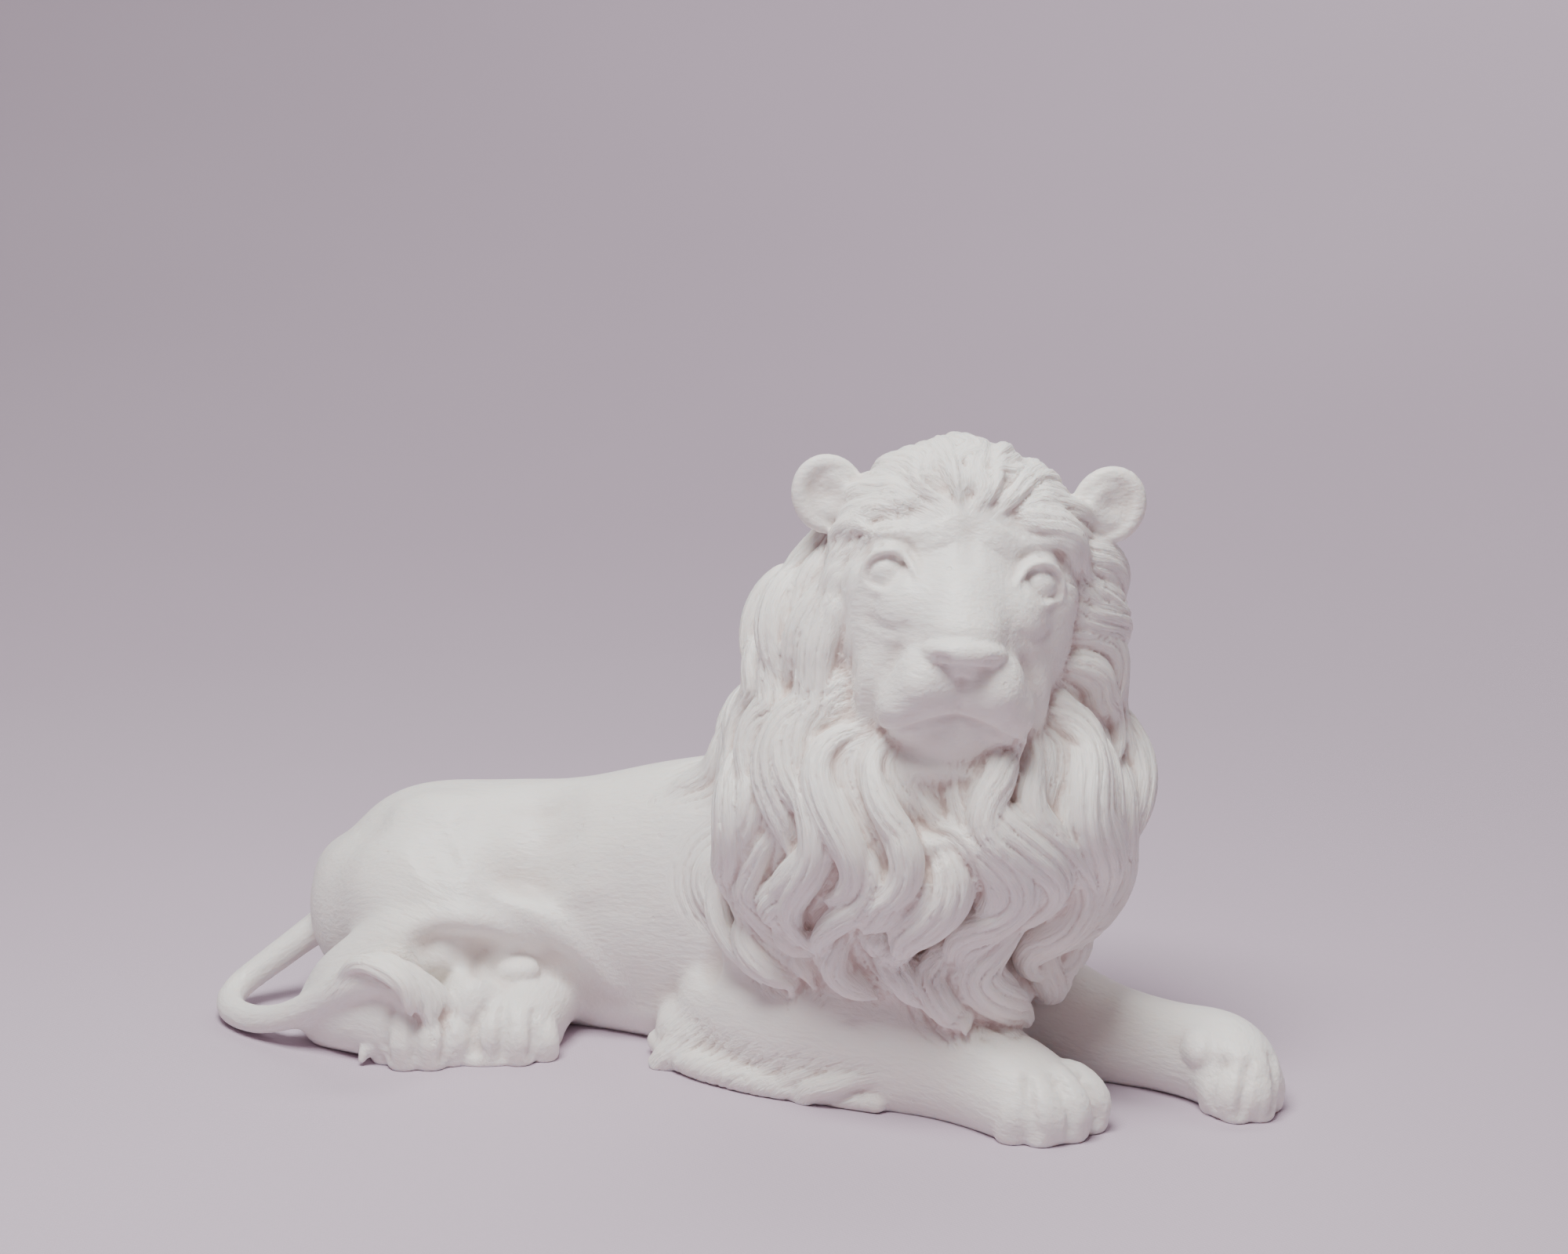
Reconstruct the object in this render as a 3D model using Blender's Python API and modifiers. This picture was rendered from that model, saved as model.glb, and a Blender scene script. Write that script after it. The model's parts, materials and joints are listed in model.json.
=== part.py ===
"""Reclining lion statuette, cast in one piece of white marble resin.

Metres, +Z up. +X is where the forepaws point, +Y is the lion's left. The lion lies on its own
underside, which is one flat plane at Z = 0, and the origin is below the middle of its box.
The figure is free form, so its pose and proportions are shares of its own length: every
position and radius below is written in 225ths of that length (one share is 1 mm on a lion
225 mm long), and UNIT turns shares into metres.
"""
import math

import bmesh
import bpy
import numpy as np
from mathutils import Matrix, Vector
from mathutils.bvhtree import BVHTree

# Driving size: the overall length, from the tail's bend to the far forepaw, in metres.
LENGTH = 0.225
UNIT = LENGTH / 225.0

# Shares of the length.
BODY_GRAIN = 1.5        # grid that melts the trunk and the mane's core together
LIMB_GRAIN = 1.2        # grid that melts the limbs, the tail and the head on
FACE_GRAIN = 0.95       # grid of the face alone
CARVING_GRAIN = 0.8     # grid of the finished carving
LOCK_SPACING = 7.0      # side by side distance between the roots of the mane's locks
LOCK_STAGGER = 21.0     # distance between roots along the hair
LOCK_HALF_WIDTH = 4.6
LOCK_HALF_DEPTH = 4.5
LOCK_LIFT = 2.4         # how far a lock's belly stands off the core
WAVE_LENGTH = 38.0      # of the waves down the mane
FACETS = 9600           # triangles left on the finished casting
ORIGIN = (-24.97, 11.48)   # middle of the casting's box, in the figure's own shares
FLOOR_DROP = 12.0       # thickness of the block that trims the underside flat

WHITE = (0.83, 0.81, 0.80, 1.0)
ROUGHNESS = 0.42


def turned(yaw=0, pitch=0, roll=0):
    """Yaw about Z, then nose-up pitch, then roll about X, in degrees."""
    return (Matrix.Rotation(math.radians(yaw), 4, "Z")
            @ Matrix.Rotation(math.radians(-pitch), 4, "Y")
            @ Matrix.Rotation(math.radians(roll), 4, "X"))


BODY = Matrix.Translation((-ORIGIN[0], -ORIGIN[1], 0.0))
HEAD = BODY @ Matrix.Translation((27.6, 20.6, 112.0)) @ turned(-50, 0, -5)
RUFF = BODY @ Matrix.Translation((17.0, 24.0, 0.0)) @ turned(-50)
EARS = ((1, 29.5, 16.6), (-1, 26.9, 14.3))      # side, distance from the face's middle, height
EYE = (14.9, 1.9)                               # distance from the face's middle, height
TOE = ((13.0, 10.0, 2.4, 2.6), (8.0, 9.4, 3.8, 3.8),   # distance back, height and half sizes of
       (4.4, 5.8, 4.0, 4.8), (3.8, 2.0, 3.9, 3.6))    # a toe's cross-sections
PAWS = (                                        # x, y and yaw of each toe's tip, and its size
    ((53.5, 7.2, -45, 1.05), (59.6, 10.6, -28, 1.1), (63.4, 17.2, -12, 1.1), (64.0, 25.0, 6, 1.05)),
    ((74.0, 45.6, -112, 0.9), (80.6, 43.8, -92, 1.0), (85.8, 47.6, -62, 1.0), (86.4, 55.0, -28, 0.95)),
    ((-81.5, -40.2, -82, 1), (-74.2, -40.2, -62, 1.1), (-68.8, -35.8, -44, 1.1), (-66.2, -29.8, -24, 1)),
    ((-67.6, -26.8, -84, 0.95), (-61.6, -26.0, -66, 1.1), (-56.0, -22.2, -50, 1.0), (-52.8, -16.0, -34, 0.8)))


def smooth_rows(rows, per_span):
    """Rows of numbers with a smooth curve run through them."""
    p = np.array(rows, float)
    p = np.vstack([2 * p[0] - p[1], p, 2 * p[-1] - p[-2]])
    out = []
    for a, b, c, d in zip(p, p[1:], p[2:], p[3:]):
        t = np.linspace(0, 1, per_span, endpoint=False)[:, None]
        cubic = (3 * b - a - 3 * c + d) * t**3
        out.append(0.5 * (2 * b + (c - a) * t + (2 * a - 5 * b + 4 * c - d) * t**2 + cubic))
    return np.vstack(out + [p[-2][None]])


def unit(v):
    return v / max(np.linalg.norm(v), 1e-9)


class Clay:
    """Balls and tubes that a voxel remesh melts into one skin."""

    def __init__(self):
        self.bm = bmesh.new()
        self.frame = BODY

    def ball(self, centre, radii, yaw=0, pitch=0, roll=0):
        place = (Matrix.Scale(UNIT, 4) @ self.frame @ Matrix.Translation(centre)
                 @ turned(yaw, pitch, roll) @ Matrix.Diagonal((*radii, 1)))
        bmesh.ops.create_icosphere(self.bm, subdivisions=3, radius=1.0, matrix=place)

    def tube(self, stations, up=(0, 0, 1), sides=16, per_span=4, caps=3, ups=None):
        """A round-ended loft through stations of x, y, z, half width and half height."""
        rows = smooth_rows(stations, per_span) if per_span > 1 else np.array(stations, float)
        mid = rows[:, :3]
        half = np.maximum(rows[:, 3:5], 0.05)
        run = np.gradient(mid, axis=0)
        run /= np.linalg.norm(run, axis=1)[:, None]
        ups = np.tile(np.array(up, float), (len(mid), 1)) if ups is None else np.array(ups, float)
        a = np.arange(1, caps + 1) / (caps + 1) * math.pi / 2
        r0 = half[0].min()
        r1 = half[-1].min()
        mid = np.vstack([mid[0] - run[0] * (r0 * np.cos(a))[:, None], mid,
                         mid[-1] + run[-1] * (r1 * np.sin(a))[:, None]])
        half = np.vstack([half[0] * np.sin(a)[:, None], half, half[-1] * np.cos(a)[:, None]])
        tips = np.array([rows[0, :3] - run[0] * r0, rows[-1, :3] + run[-1] * r1])
        run = np.vstack([np.tile(run[0], (caps, 1)), run, np.tile(run[-1], (caps, 1))])
        ups = np.vstack([np.tile(ups[0], (caps, 1)), ups, np.tile(ups[-1], (caps, 1))])
        side = np.cross(run, ups)
        side /= np.linalg.norm(side, axis=1)[:, None]
        top = np.cross(side, run)
        angle = np.linspace(0, 2 * math.pi, sides, endpoint=False)
        ring = (mid[:, None] + side[:, None] * (np.cos(angle) * half[:, :1])[..., None]
                + top[:, None] * (np.sin(angle) * half[:, 1:])[..., None])
        place = np.array(self.frame)
        ring = (ring @ place[:3, :3].T + place[:3, 3]) * UNIT
        tips = (tips @ place[:3, :3].T + place[:3, 3]) * UNIT
        rings = [[self.bm.verts.new(p) for p in r] for r in ring]
        first = self.bm.verts.new(tips[0])
        last = self.bm.verts.new(tips[1])
        for p, q in zip(rings, rings[1:]):
            for i in range(sides):
                j = (i + 1) % sides
                self.bm.faces.new((p[i], q[i], q[j], p[j]))
        for i in range(sides):
            j = (i + 1) % sides
            self.bm.faces.new((rings[0][i], rings[0][j], first))
            self.bm.faces.new((rings[-1][j], rings[-1][i], last))

    def add(self, obj):
        self.bm.from_mesh(obj.data)

    def melt(self, name, grain, soften, rounds):
        """One object made of everything in the clay, on a grid, then softened."""
        mesh = bpy.data.meshes.new(name)
        self.bm.to_mesh(mesh)
        self.bm.free()
        obj = bpy.data.objects.new(name, mesh)
        bpy.context.scene.collection.objects.link(obj)
        melt = obj.modifiers.new("melt", "REMESH")
        melt.mode = "VOXEL"
        melt.voxel_size = grain * UNIT
        smooth = obj.modifiers.new("soften", "SMOOTH")
        smooth.factor = soften
        smooth.iterations = rounds
        graph = bpy.context.evaluated_depsgraph_get()
        obj.data = bpy.data.meshes.new_from_object(obj.evaluated_get(graph))
        obj.modifiers.clear()
        return obj


def shares(mesh):
    """The mesh's points and normals, in shares."""
    co = np.empty(len(mesh.vertices) * 3, np.float32)
    no = np.empty(len(mesh.vertices) * 3, np.float32)
    mesh.vertices.foreach_get("co", co)
    mesh.vertex_normals.foreach_get("vector", no)
    return co.reshape(-1, 3) / UNIT, no.reshape(-1, 3).astype(float)


class Skin:
    """Nearest point, normal and depth of a surface, in shares."""

    def __init__(self, obj):
        self.points, self.normals = shares(obj.data)
        faces = [tuple(f.vertices) for f in obj.data.polygons]
        self.tree = BVHTree.FromPolygons([Vector(p) for p in self.points], faces)

    def at(self, p):
        point, normal, _, _ = self.tree.find_nearest(Vector(p))
        return np.array(point), np.array(normal)

    def face_depth(self, y, z):
        """How far forward the face is, at a side distance and a height of the head's frame."""
        hit = self.tree.ray_cast(HEAD @ Vector((80, y, z)), HEAD.to_3x3() @ Vector((-1, 0, 0)))[0]
        return (HEAD.inverted() @ hit).x


class Tool:
    """A modelling tool that presses the skin in or draws it out along strokes."""

    def __init__(self, obj, frame):
        self.mesh = obj.data
        self.co, self.no = shares(self.mesh)
        self.move = np.zeros(len(self.co))
        self.frame = np.array(frame)

    def stroke(self, path, radius, height, taper=True, facing=None, snap=False):
        path = np.array(path, float) @ self.frame[:3, :3].T + self.frame[:3, 3]
        path = smooth_rows(path, 4) if len(path) > 1 else np.vstack([path, path + 0.01])
        if snap:
            path = np.array([self.co[((self.co - p) ** 2).sum(1).argmin()] for p in path])
            path = path[np.append(True, np.linalg.norm(np.diff(path, axis=0), axis=1) > 1e-6)]
        reach = ((self.co > path.min(0) - radius) & (self.co < path.max(0) + radius)).all(1)
        near = np.where(reach)[0]
        best = np.full(len(near), 1e9)
        where = np.zeros(len(near))
        for i, (a, b) in enumerate(zip(path, path[1:])):
            t = np.clip(((self.co[near] - a) @ (b - a)) / ((b - a) @ (b - a)), 0, 1)
            d = np.linalg.norm(self.co[near] - a - t[:, None] * (b - a), axis=1)
            closer = d < best
            best[closer] = d[closer]
            where[closer] = (i + t[closer]) / (len(path) - 1)
        fall = np.clip(1 - (best / radius) ** 2, 0, 1) ** 2
        if taper and len(path) > 2:
            fall *= np.clip(np.sin(math.pi * where) * 1.8, 0, 1)
        if facing is not None:
            fall *= np.clip((self.no[near] @ (self.frame[:3, :3] @ np.array(facing, float))) * 3, 0, 1)
        self.move[near] += fall * height

    def front(self, path):
        """Points on the foremost skin at side distances and heights of the tool's frame."""
        local = (self.co - self.frame[:3, 3]) @ self.frame[:3, :3]
        points = []
        for y, z in path:
            close = (np.abs(local[:, 1:] - (y, z)) < 0.6).all(1)
            points.append((local[close, 0].max(), y, z))
        return points

    def done(self):
        co = (self.co + self.no * self.move[:, None]) * UNIT
        self.mesh.vertices.foreach_set("co", co.astype(np.float32).ravel())
        self.mesh.update()


def trunk(clay):
    """Back, belly, haunches and shoulders of the body lying on its left hip."""
    clay.tube([(-117.5, -10, 27, 11.5, 13.5), (-105, -4, 29, 21, 23), (-88, 4, 28, 24, 26),
               (-68, 13, 29, 20, 27), (-46, 21, 31, 21, 31), (-20, 26, 33, 23, 35),
               (5, 28, 36, 26, 37), (22, 28, 36, 22, 32)], sides=32)
    clay.tube([(-80, 6, 12, 12, 14), (-64, 15, 11, 14, 14), (-42, 23, 11, 18, 15),
               (-10, 28, 12, 22, 16), (18, 29, 16, 20, 18)], sides=24)
    clay.ball((-92, -8, 34), (19, 12, 19), yaw=20)
    clay.ball((-89, -16, 27), (23, 13, 20), yaw=18, pitch=-12)
    clay.ball((-108, -15, 24), (17, 13, 19))
    clay.ball((-92, 17, 22), (24, 18, 26))
    clay.ball((-104, -6, 14), (18, 16, 20))
    clay.ball((-50, 14, 34), (18, 15, 23), yaw=20)
    clay.ball((-10, 12, 32), (19, 13, 25), pitch=-10)
    clay.ball((0, 46, 33), (19, 12, 25), pitch=-10)


def mane_core(clay):
    """The full mass of the mane before its locks are laid on."""
    clay.frame = RUFF
    clay.ball((-5, 1.5, 38), (27, 33, 24))
    clay.ball((-3, 1, 52), (33, 41, 28))
    clay.ball((0, 1.5, 66), (37, 42.5, 34))
    clay.ball((-4, 3, 92), (31, 38.5, 32))
    clay.frame = HEAD
    clay.ball((-9, 4, -4), (20, 30, 25))
    clay.frame = BODY
    clay.ball((-9, 28, 64), (27, 24, 27))


def forelegs(clay):
    clay.tube([(-24, 9, 11, 10, 15), (-8, 9, 12, 12, 19), (12, 13, 12, 12, 18),
               (28, 17, 10, 11, 15), (40, 18, 8, 11, 12.5), (50, 18, 6, 12, 10),
               (55, 18, 5, 10, 8)], sides=24)
    clay.ball((-27, 8, 6), (13, 11, 9))
    clay.tube([(-6, 52, 14, 9, 13), (20, 54, 12, 12, 15), (42, 56, 8, 11, 12),
               (58, 57, 8, 9.5, 10), (71.5, 57, 8, 10, 10.5), (78.2, 53, 6.5, 9.5, 9.5),
               (79, 50, 5, 8, 7)], sides=24)


def hind_legs(clay):
    """Right leg folded under the tail, left foot coming out from under the belly."""
    clay.tube([(-76, -18, 28, 7, 8), (-86, -26, 23, 8, 9), (-96, -33, 14, 7, 9),
               (-101, -35, 8, 6.5, 8)], sides=20)
    clay.tube([(-102, -36, 6, 6, 8), (-93, -35, 8, 8, 9), (-83, -33, 8.5, 9, 9.5),
               (-76, -31, 6, 9, 8)], sides=20)
    clay.tube([(-72, 8, 10, 8, 9), (-67, -3, 8, 8.5, 8.5), (-64.0, -11.5, 7.5, 9, 8),
               (-62, -16.5, 6.5, 8, 7.6)], sides=20)
    clay.tube([(-78, -16, 33, 4, 4), (-66, -8, 30, 4, 4.5), (-56, -1, 23, 3.5, 4),
               (-50, 4, 14, 3, 3)], sides=14)
    clay.ball((-74, -8, 8), (14, 12, 10))
    clay.ball((-71, -14, 1), (15, 16, 6))
    clay.ball((-71, -21, 10), (7, 7, 9))


def tail(clay):
    """Out behind the rump, round on the floor and forward over the right hind foot."""
    clay.tube([(-114, -6, 27, 6, 6), (-123, -14, 19.5, 4.2, 4.2), (-131, -25, 10.5, 3.6, 3.6),
               (-134.5, -34, 4.6, 3.4, 3.4), (-128, -41, 3.2, 3.4, 3.4),
               (-117, -43.5, 3.8, 3.4, 3.4), (-106, -43.5, 7, 3.4, 3.4), (-96, -42, 12.5, 3.6, 3.6),
               (-87, -40.5, 18, 4.2, 4.4), (-80, -38.5, 21, 4, 5), (-74.5, -36, 17.5, 3, 4.5),
               (-71.5, -34, 13, 2.5, 3)], sides=14, per_span=5)


def face(clay):
    """Skull, brow, bridge of the nose, muzzle, cheeks and chin."""
    clay.frame = HEAD
    clay.ball((-2, 0, 3), (20.5, 23.5, 21.5))
    clay.ball((7, 0, 10), (11.5, 17, 12))
    clay.tube([(8, 0, 8, 11, 9), (15, 0, 3, 10.5, 8), (23, 0, -3.5, 8.8, 7.2),
               (29.4, 0, -6.8, 7.6, 4.2)])
    clay.ball((18.8, 0, -27.0), (8.8, 11.6, 8.0))
    clay.ball((22.8, 0, -17.4), (8.8, 6.0, 7.6))
    clay.ball((10, 0, -22), (16, 16, 12))
    for side in (1, -1):
        clay.ball((23.6, side * 6.4, -17.0), (10.4, 6.8, 8.8), yaw=side * 8)
        clay.ball((21.0, side * 9.4, -22.4), (9.8, 6.6, 7.4), yaw=side * 15)
        clay.ball((16.6, side * 9.6, -6), (9.6, 8.2, 11))
        clay.tube([(12, side * 10, -3, 6, 6), (15.5, side * 10.5, -11, 6.5, 6.5),
                   (16.6, side * 12.6, -18.5, 7, 7), (13, side * 13, -27, 6.5, 6.5)], up=(1, 0, 0))
        clay.ball((6, side * 14, -9), (13, 10.5, 16))
        clay.ball((9.5, side * 17, -2), (8, 7.5, 9))
        clay.ball((11.5, side * 12.5, 8.5), (6.5, 9, 5.5), roll=side * -12)


def ears(clay):
    """Round ears: a thick cup with a soft rim on each side."""
    clay.frame = HEAD
    for side, out, up in EARS:
        lean = side * -24
        clay.ball((0.2, side * out, up), (3.4, 6.0, 6.6), yaw=side * 20, roll=lean)
        rim = []
        for degrees in range(-60, 241, 20):
            edge = turned(roll=lean) @ Vector((0, 5.8 * math.cos(math.radians(degrees)),
                                               6.6 * math.sin(math.radians(degrees))))
            rim.append((1.2, side * out + edge.y, up + edge.z, 1.8, 1.6))
        clay.tube(rim, up=(1, 0, 0), sides=10, per_span=2)


def eyes(clay, skin):
    """Eyeball, raised pupil, the two lids as rims, and the pouch below."""
    clay.frame = HEAD
    upper = ((-5.4, -2.6, 0.5, 0.6), (-4.9, 0.8, 1.2, 0.75), (-2.9, 3.7, 1.8, 0.85), (0, 4.8, 2.1, 0.9),
             (2.9, 3.7, 1.9, 0.85), (4.9, 0.8, 1.3, 0.75), (5.5, -2.4, 0.5, 0.6))
    lower = ((-5.4, -2.9, 0.5, 0.6), (-2.8, -3.3, 1.0, 0.75), (0, -3.5, 1.2, 0.8),
             (2.8, -3.3, 1.0, 0.75), (5.4, -2.8, 0.5, 0.6))
    out, up = EYE
    for side in (1, -1):
        deep = skin.face_depth(side * out, up)
        clay.ball((deep - 2.8, side * out, up + 0.3), (4.9, 5.2, 4.6))
        clay.ball((deep + 0.4, side * out, up + 0.2), (2.5, 3.3, 3.3))
        for lid in (upper, lower):
            rim = []
            for y, z, lift, thick in lid:
                x = 0.75 * skin.face_depth(side * (out + y), up + z) + 0.25 * deep + lift
                rim.append((x, side * (out + y), up + z, thick, thick))
            clay.tube(rim, up=(1, 0, 0), sides=10)
        clay.ball((deep - 3.2, side * out, up - 7.2), (4.8, 6.2, 3.0))


def nose(clay):
    clay.frame = HEAD
    clay.tube([(30.0, -6.3, -10.2, 2.1, 2.1), (32.4, -3.9, -9.7, 2.4, 2.3),
               (33.3, 0, -9.4, 2.6, 2.4), (32.4, 3.9, -9.7, 2.4, 2.3),
               (30.0, 6.3, -10.2, 2.1, 2.1)], up=(0.4, 0, 1), sides=14)
    clay.ball((30.0, 0, -12.2), (2.6, 4.0, 3.4))
    clay.frame = BODY


def toes(clay):
    """Rounded toes of the four paws."""
    clay.frame = BODY
    for paw in PAWS:
        for x, y, yaw, size in paw:
            a = math.radians(yaw)
            rows = []
            for back, high, wide, tall in TOE:
                rows.append((x - back * size * math.cos(a), y - back * size * math.sin(a),
                             high * size, wide * size, tall * size))
            clay.tube(rows, sides=14, per_span=3)
    clay.ball((70.4, 51.4, 12.0), (6.4, 4.4, 4.6), yaw=-60)
    clay.ball((-67, -10.6, 17.0), (5.2, 3.8, 3.0), yaw=30)
    clay.tube([(-80, -37, 6, 2.6, 2.6), (-83.5, -40.5, 3.4, 1.8, 1.8), (-84, -42, 1.4, 0.9, 0.9)], sides=10)


def tail_tuft(clay):
    """Strands of the tail's end, draped over the right hind foot."""
    clay.frame = Matrix.Identity(4)
    here = np.array([ORIGIN[0], ORIGIN[1], 0])
    for i in range(6):
        out = (i - 2.5) * 1.9
        sway = 0.8 * math.sin(2.2 * i)
        line = smooth_rows([(-92, -41 + 0.4 * out, 17 + 0.2 * out),
                            (-84, -39.5 + 0.8 * out, 22.5 - 0.2 * out),
                            (-77, -37 + 1.0 * out + sway, 21.5 - 0.4 * out),
                            (-72, -35 + 1.1 * out - sway, 17 - 0.6 * out),
                            (-69 - 0.4 * abs(out), -34 + 1.1 * out, 10.5 - 0.5 * out + 2 * sway)], 3) - here
        lay_lock(clay, line, np.tile((0.35, -0.55, 0.75), (len(line), 1)), 2.5, 1.9, 1.1)
    clay.frame = BODY


def hair_flow(p, n):
    """The way the hair lies: away from the face, back over the crown, then down."""
    inverse = np.array(HEAD.inverted())
    head = np.array(HEAD)[:3, :3]
    q = inverse[:3, :3] @ p + inverse[:3, 3]
    out = math.hypot(q[1], q[2] + 4)
    near = math.exp(-(out / 30.0) ** 2)
    high = 1 / (1 + math.exp(-(q[2] - 4) / 5.0))
    behind = 1 / (1 + math.exp((q[0] + 4) / 5.0))
    radial = head @ unit(np.array([0.0, q[1], q[2] + 4]))
    way = radial * (1.3 * near * (1 - behind))
    way = way - head[:, 0] * (0.9 * high * (1 - 0.6 * behind) + 1.7 * near * (1 - high))
    way = way - np.array([0, 0, 0.25 + 1.2 * (1 - near) + 0.9 * behind])
    return unit(way - n * (way @ n)), q


def grow(skin, root, length, wave, phase, curl=0.0, lift=LOCK_LIFT, step=3.0):
    """The middle line of a lock that follows the flow over the skin in waves."""
    p, n = skin.at(root)
    count = max(4, int(round(length / step)))
    line = []
    ups = []
    for i in range(count + 1):
        t = i / count
        line.append(p + n * (lift * math.sin(min(1.0, t * 1.2) * math.pi * 0.62) - 1.0))
        ups.append(n)
        way, q = hair_flow(p, n)
        out = math.hypot(q[1], q[2] + 4)
        reach = 112 - p[2] if p[2] < 88 else 24 + 0.8 * max(0.0, out - 24)
        turn = 2 * math.pi * reach / WAVE_LENGTH + 2.0 * math.atan2(q[1], q[2] + 4) + phase
        way = unit(way + np.cross(n, way) * (wave * math.sin(turn) + curl * t**3))
        if i > 3 and (n[2] < -0.6 or p[2] < mane_hem(p)):
            break
        p, m = skin.at(p + way * step)
        n = unit(n * 0.45 + m * 0.55)
    return np.array(line), np.array(ups)


def mane_hem(p):
    """Height where the locks end: low between the forelegs, higher above them."""
    aside = p[1] + ORIGIN[1] - 22
    return 15 + 12 * min(1.0, max(-aside, 0.5 * aside) / 25)


def lock_roots(skin, rng, spacing=LOCK_SPACING, stagger=LOCK_STAGGER):
    """Roots along the face's hairline first, then spread over the mane."""
    inverse = np.array(HEAD.inverted())
    head = np.array(HEAD)
    q = skin.points @ inverse[:3, :3].T + inverse[:3, 3]
    narrow = 24.5 - 0.28 * np.clip(-8 - q[:, 2], 0, 20)
    bare = (q[:, 0] > 0) & (np.hypot(q[:, 1] / narrow, (q[:, 2] + 8) / 25.5) < 1.0)
    x = skin.points[:, 0] + ORIGIN[0]
    z = skin.points[:, 2]
    y = skin.points[:, 1] + ORIGIN[1]
    mane = (x > -30 - 0.05 * (z - 60)) & (z > 36) & ~((x < -10) & (z < 42)) & ~bare
    mane &= ~((x < -20) & (y < 14) & (z < 80))
    roots = []
    for i in range(26):
        if i in (12, 13):
            continue
        a = 2 * math.pi * (i + 0.5) / 26
        z = -8 + 25.5 * math.cos(a)
        y = (24.0 - 0.28 * max(0.0, -8 - z)) * math.sin(a)
        x = 16 - 0.016 * y * y if z > 0 else 10
        roots.append(skin.at(head[:3, :3] @ np.array([x, y, z]) + head[:3, 3])[0])
    ways = [hair_flow(*skin.at(p))[0] for p in roots]
    order = np.where(mane)[0]
    rng.shuffle(order)
    for i in order:
        gap = skin.points[i] - np.array(roots)
        along = np.einsum("ij,ij->i", gap, np.array(ways))
        across = np.sqrt(np.maximum((gap**2).sum(1) - along**2, 0))
        if ((across / spacing) ** 2 + (along / stagger) ** 2).min() > 1:
            roots.append(skin.points[i])
            ways.append(hair_flow(skin.points[i], skin.normals[i])[0])
    return roots


def part_mane(obj):
    """Presses long wavy valleys into the mane's core, so that the locks fall in big clumps."""
    skin = Skin(obj)
    rng = np.random.default_rng(5)
    tool = Tool(obj, Matrix.Identity(4))
    for root in lock_roots(skin, rng, 16.0, 46.0)[24:]:
        length = min(46, root[2] - mane_hem(root))
        if root[0] + ORIGIN[0] < -8 or length < 15:
            continue
        line, _ = grow(skin, root, length, 0.7, rng.uniform(-1, 1), 0.0, 0.5)
        tool.stroke(line, rng.uniform(5.0, 7.0), rng.uniform(-4.6, -3.0))
    tool.done()


def mane_locks(clay, skin):
    """Wavy locks, thin at the root and the tip, overlapping like shingles; some stand out of the rest."""
    rng = np.random.default_rng(7)
    clay.frame = Matrix.Identity(4)
    for root in lock_roots(skin, rng):
        low = root[2] < 88
        length = rng.uniform(40, 66) if low else rng.uniform(28, 42)
        length = min(length, 1.3 * (root[2] - mane_hem(root)) + 4)
        behind = root[0] + ORIGIN[0] < -12
        if behind:
            length = min(length, 24)
        if length < 15:
            continue
        bold = rng.uniform(0.7, 1.35)
        width = min(LOCK_HALF_WIDTH * bold, 0.17 * length)
        curl = rng.uniform(-0.4, 0.4) if root[0] + ORIGIN[0] < -5 else rng.uniform(-1.0, 1.0)
        wave = (0.85 if low else 0.65) * rng.uniform(0.8, 1.2)
        lift = LOCK_LIFT * (0.5 + 0.6 * bold) + rng.uniform(-0.6, 1.2) if low else LOCK_LIFT * 0.6 * bold
        if behind:
            lift = 0.5
        line, ups = grow(skin, root, length, wave, rng.uniform(-0.7, 0.7), curl, lift)
        depth = LOCK_HALF_DEPTH * (0.6 + 0.4 * bold) * (0.6 if behind else 1.0)
        lay_lock(clay, line, ups, width, depth, 0.9 if low else 0.7, 0.75)
    clay.frame = BODY


def lay_lock(clay, line, ups, width, depth, blunt=1.0, ease=None):
    """A lens-shaped lock that swells from the root and closes at the tip."""
    ease = 0.8 / (1 + max(0.0, blunt - 0.7)) if ease is None else ease
    swell = np.sin(math.pi * np.linspace(0, 1, len(line)) ** blunt) ** ease
    rows = np.column_stack([line, width * (0.1 + 0.9 * swell), depth * (0.12 + 0.88 * swell)])
    clay.tube(smooth_rows(rows, 2), ups=smooth_rows(ups, 2), sides=12, per_span=1, caps=2)


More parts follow.
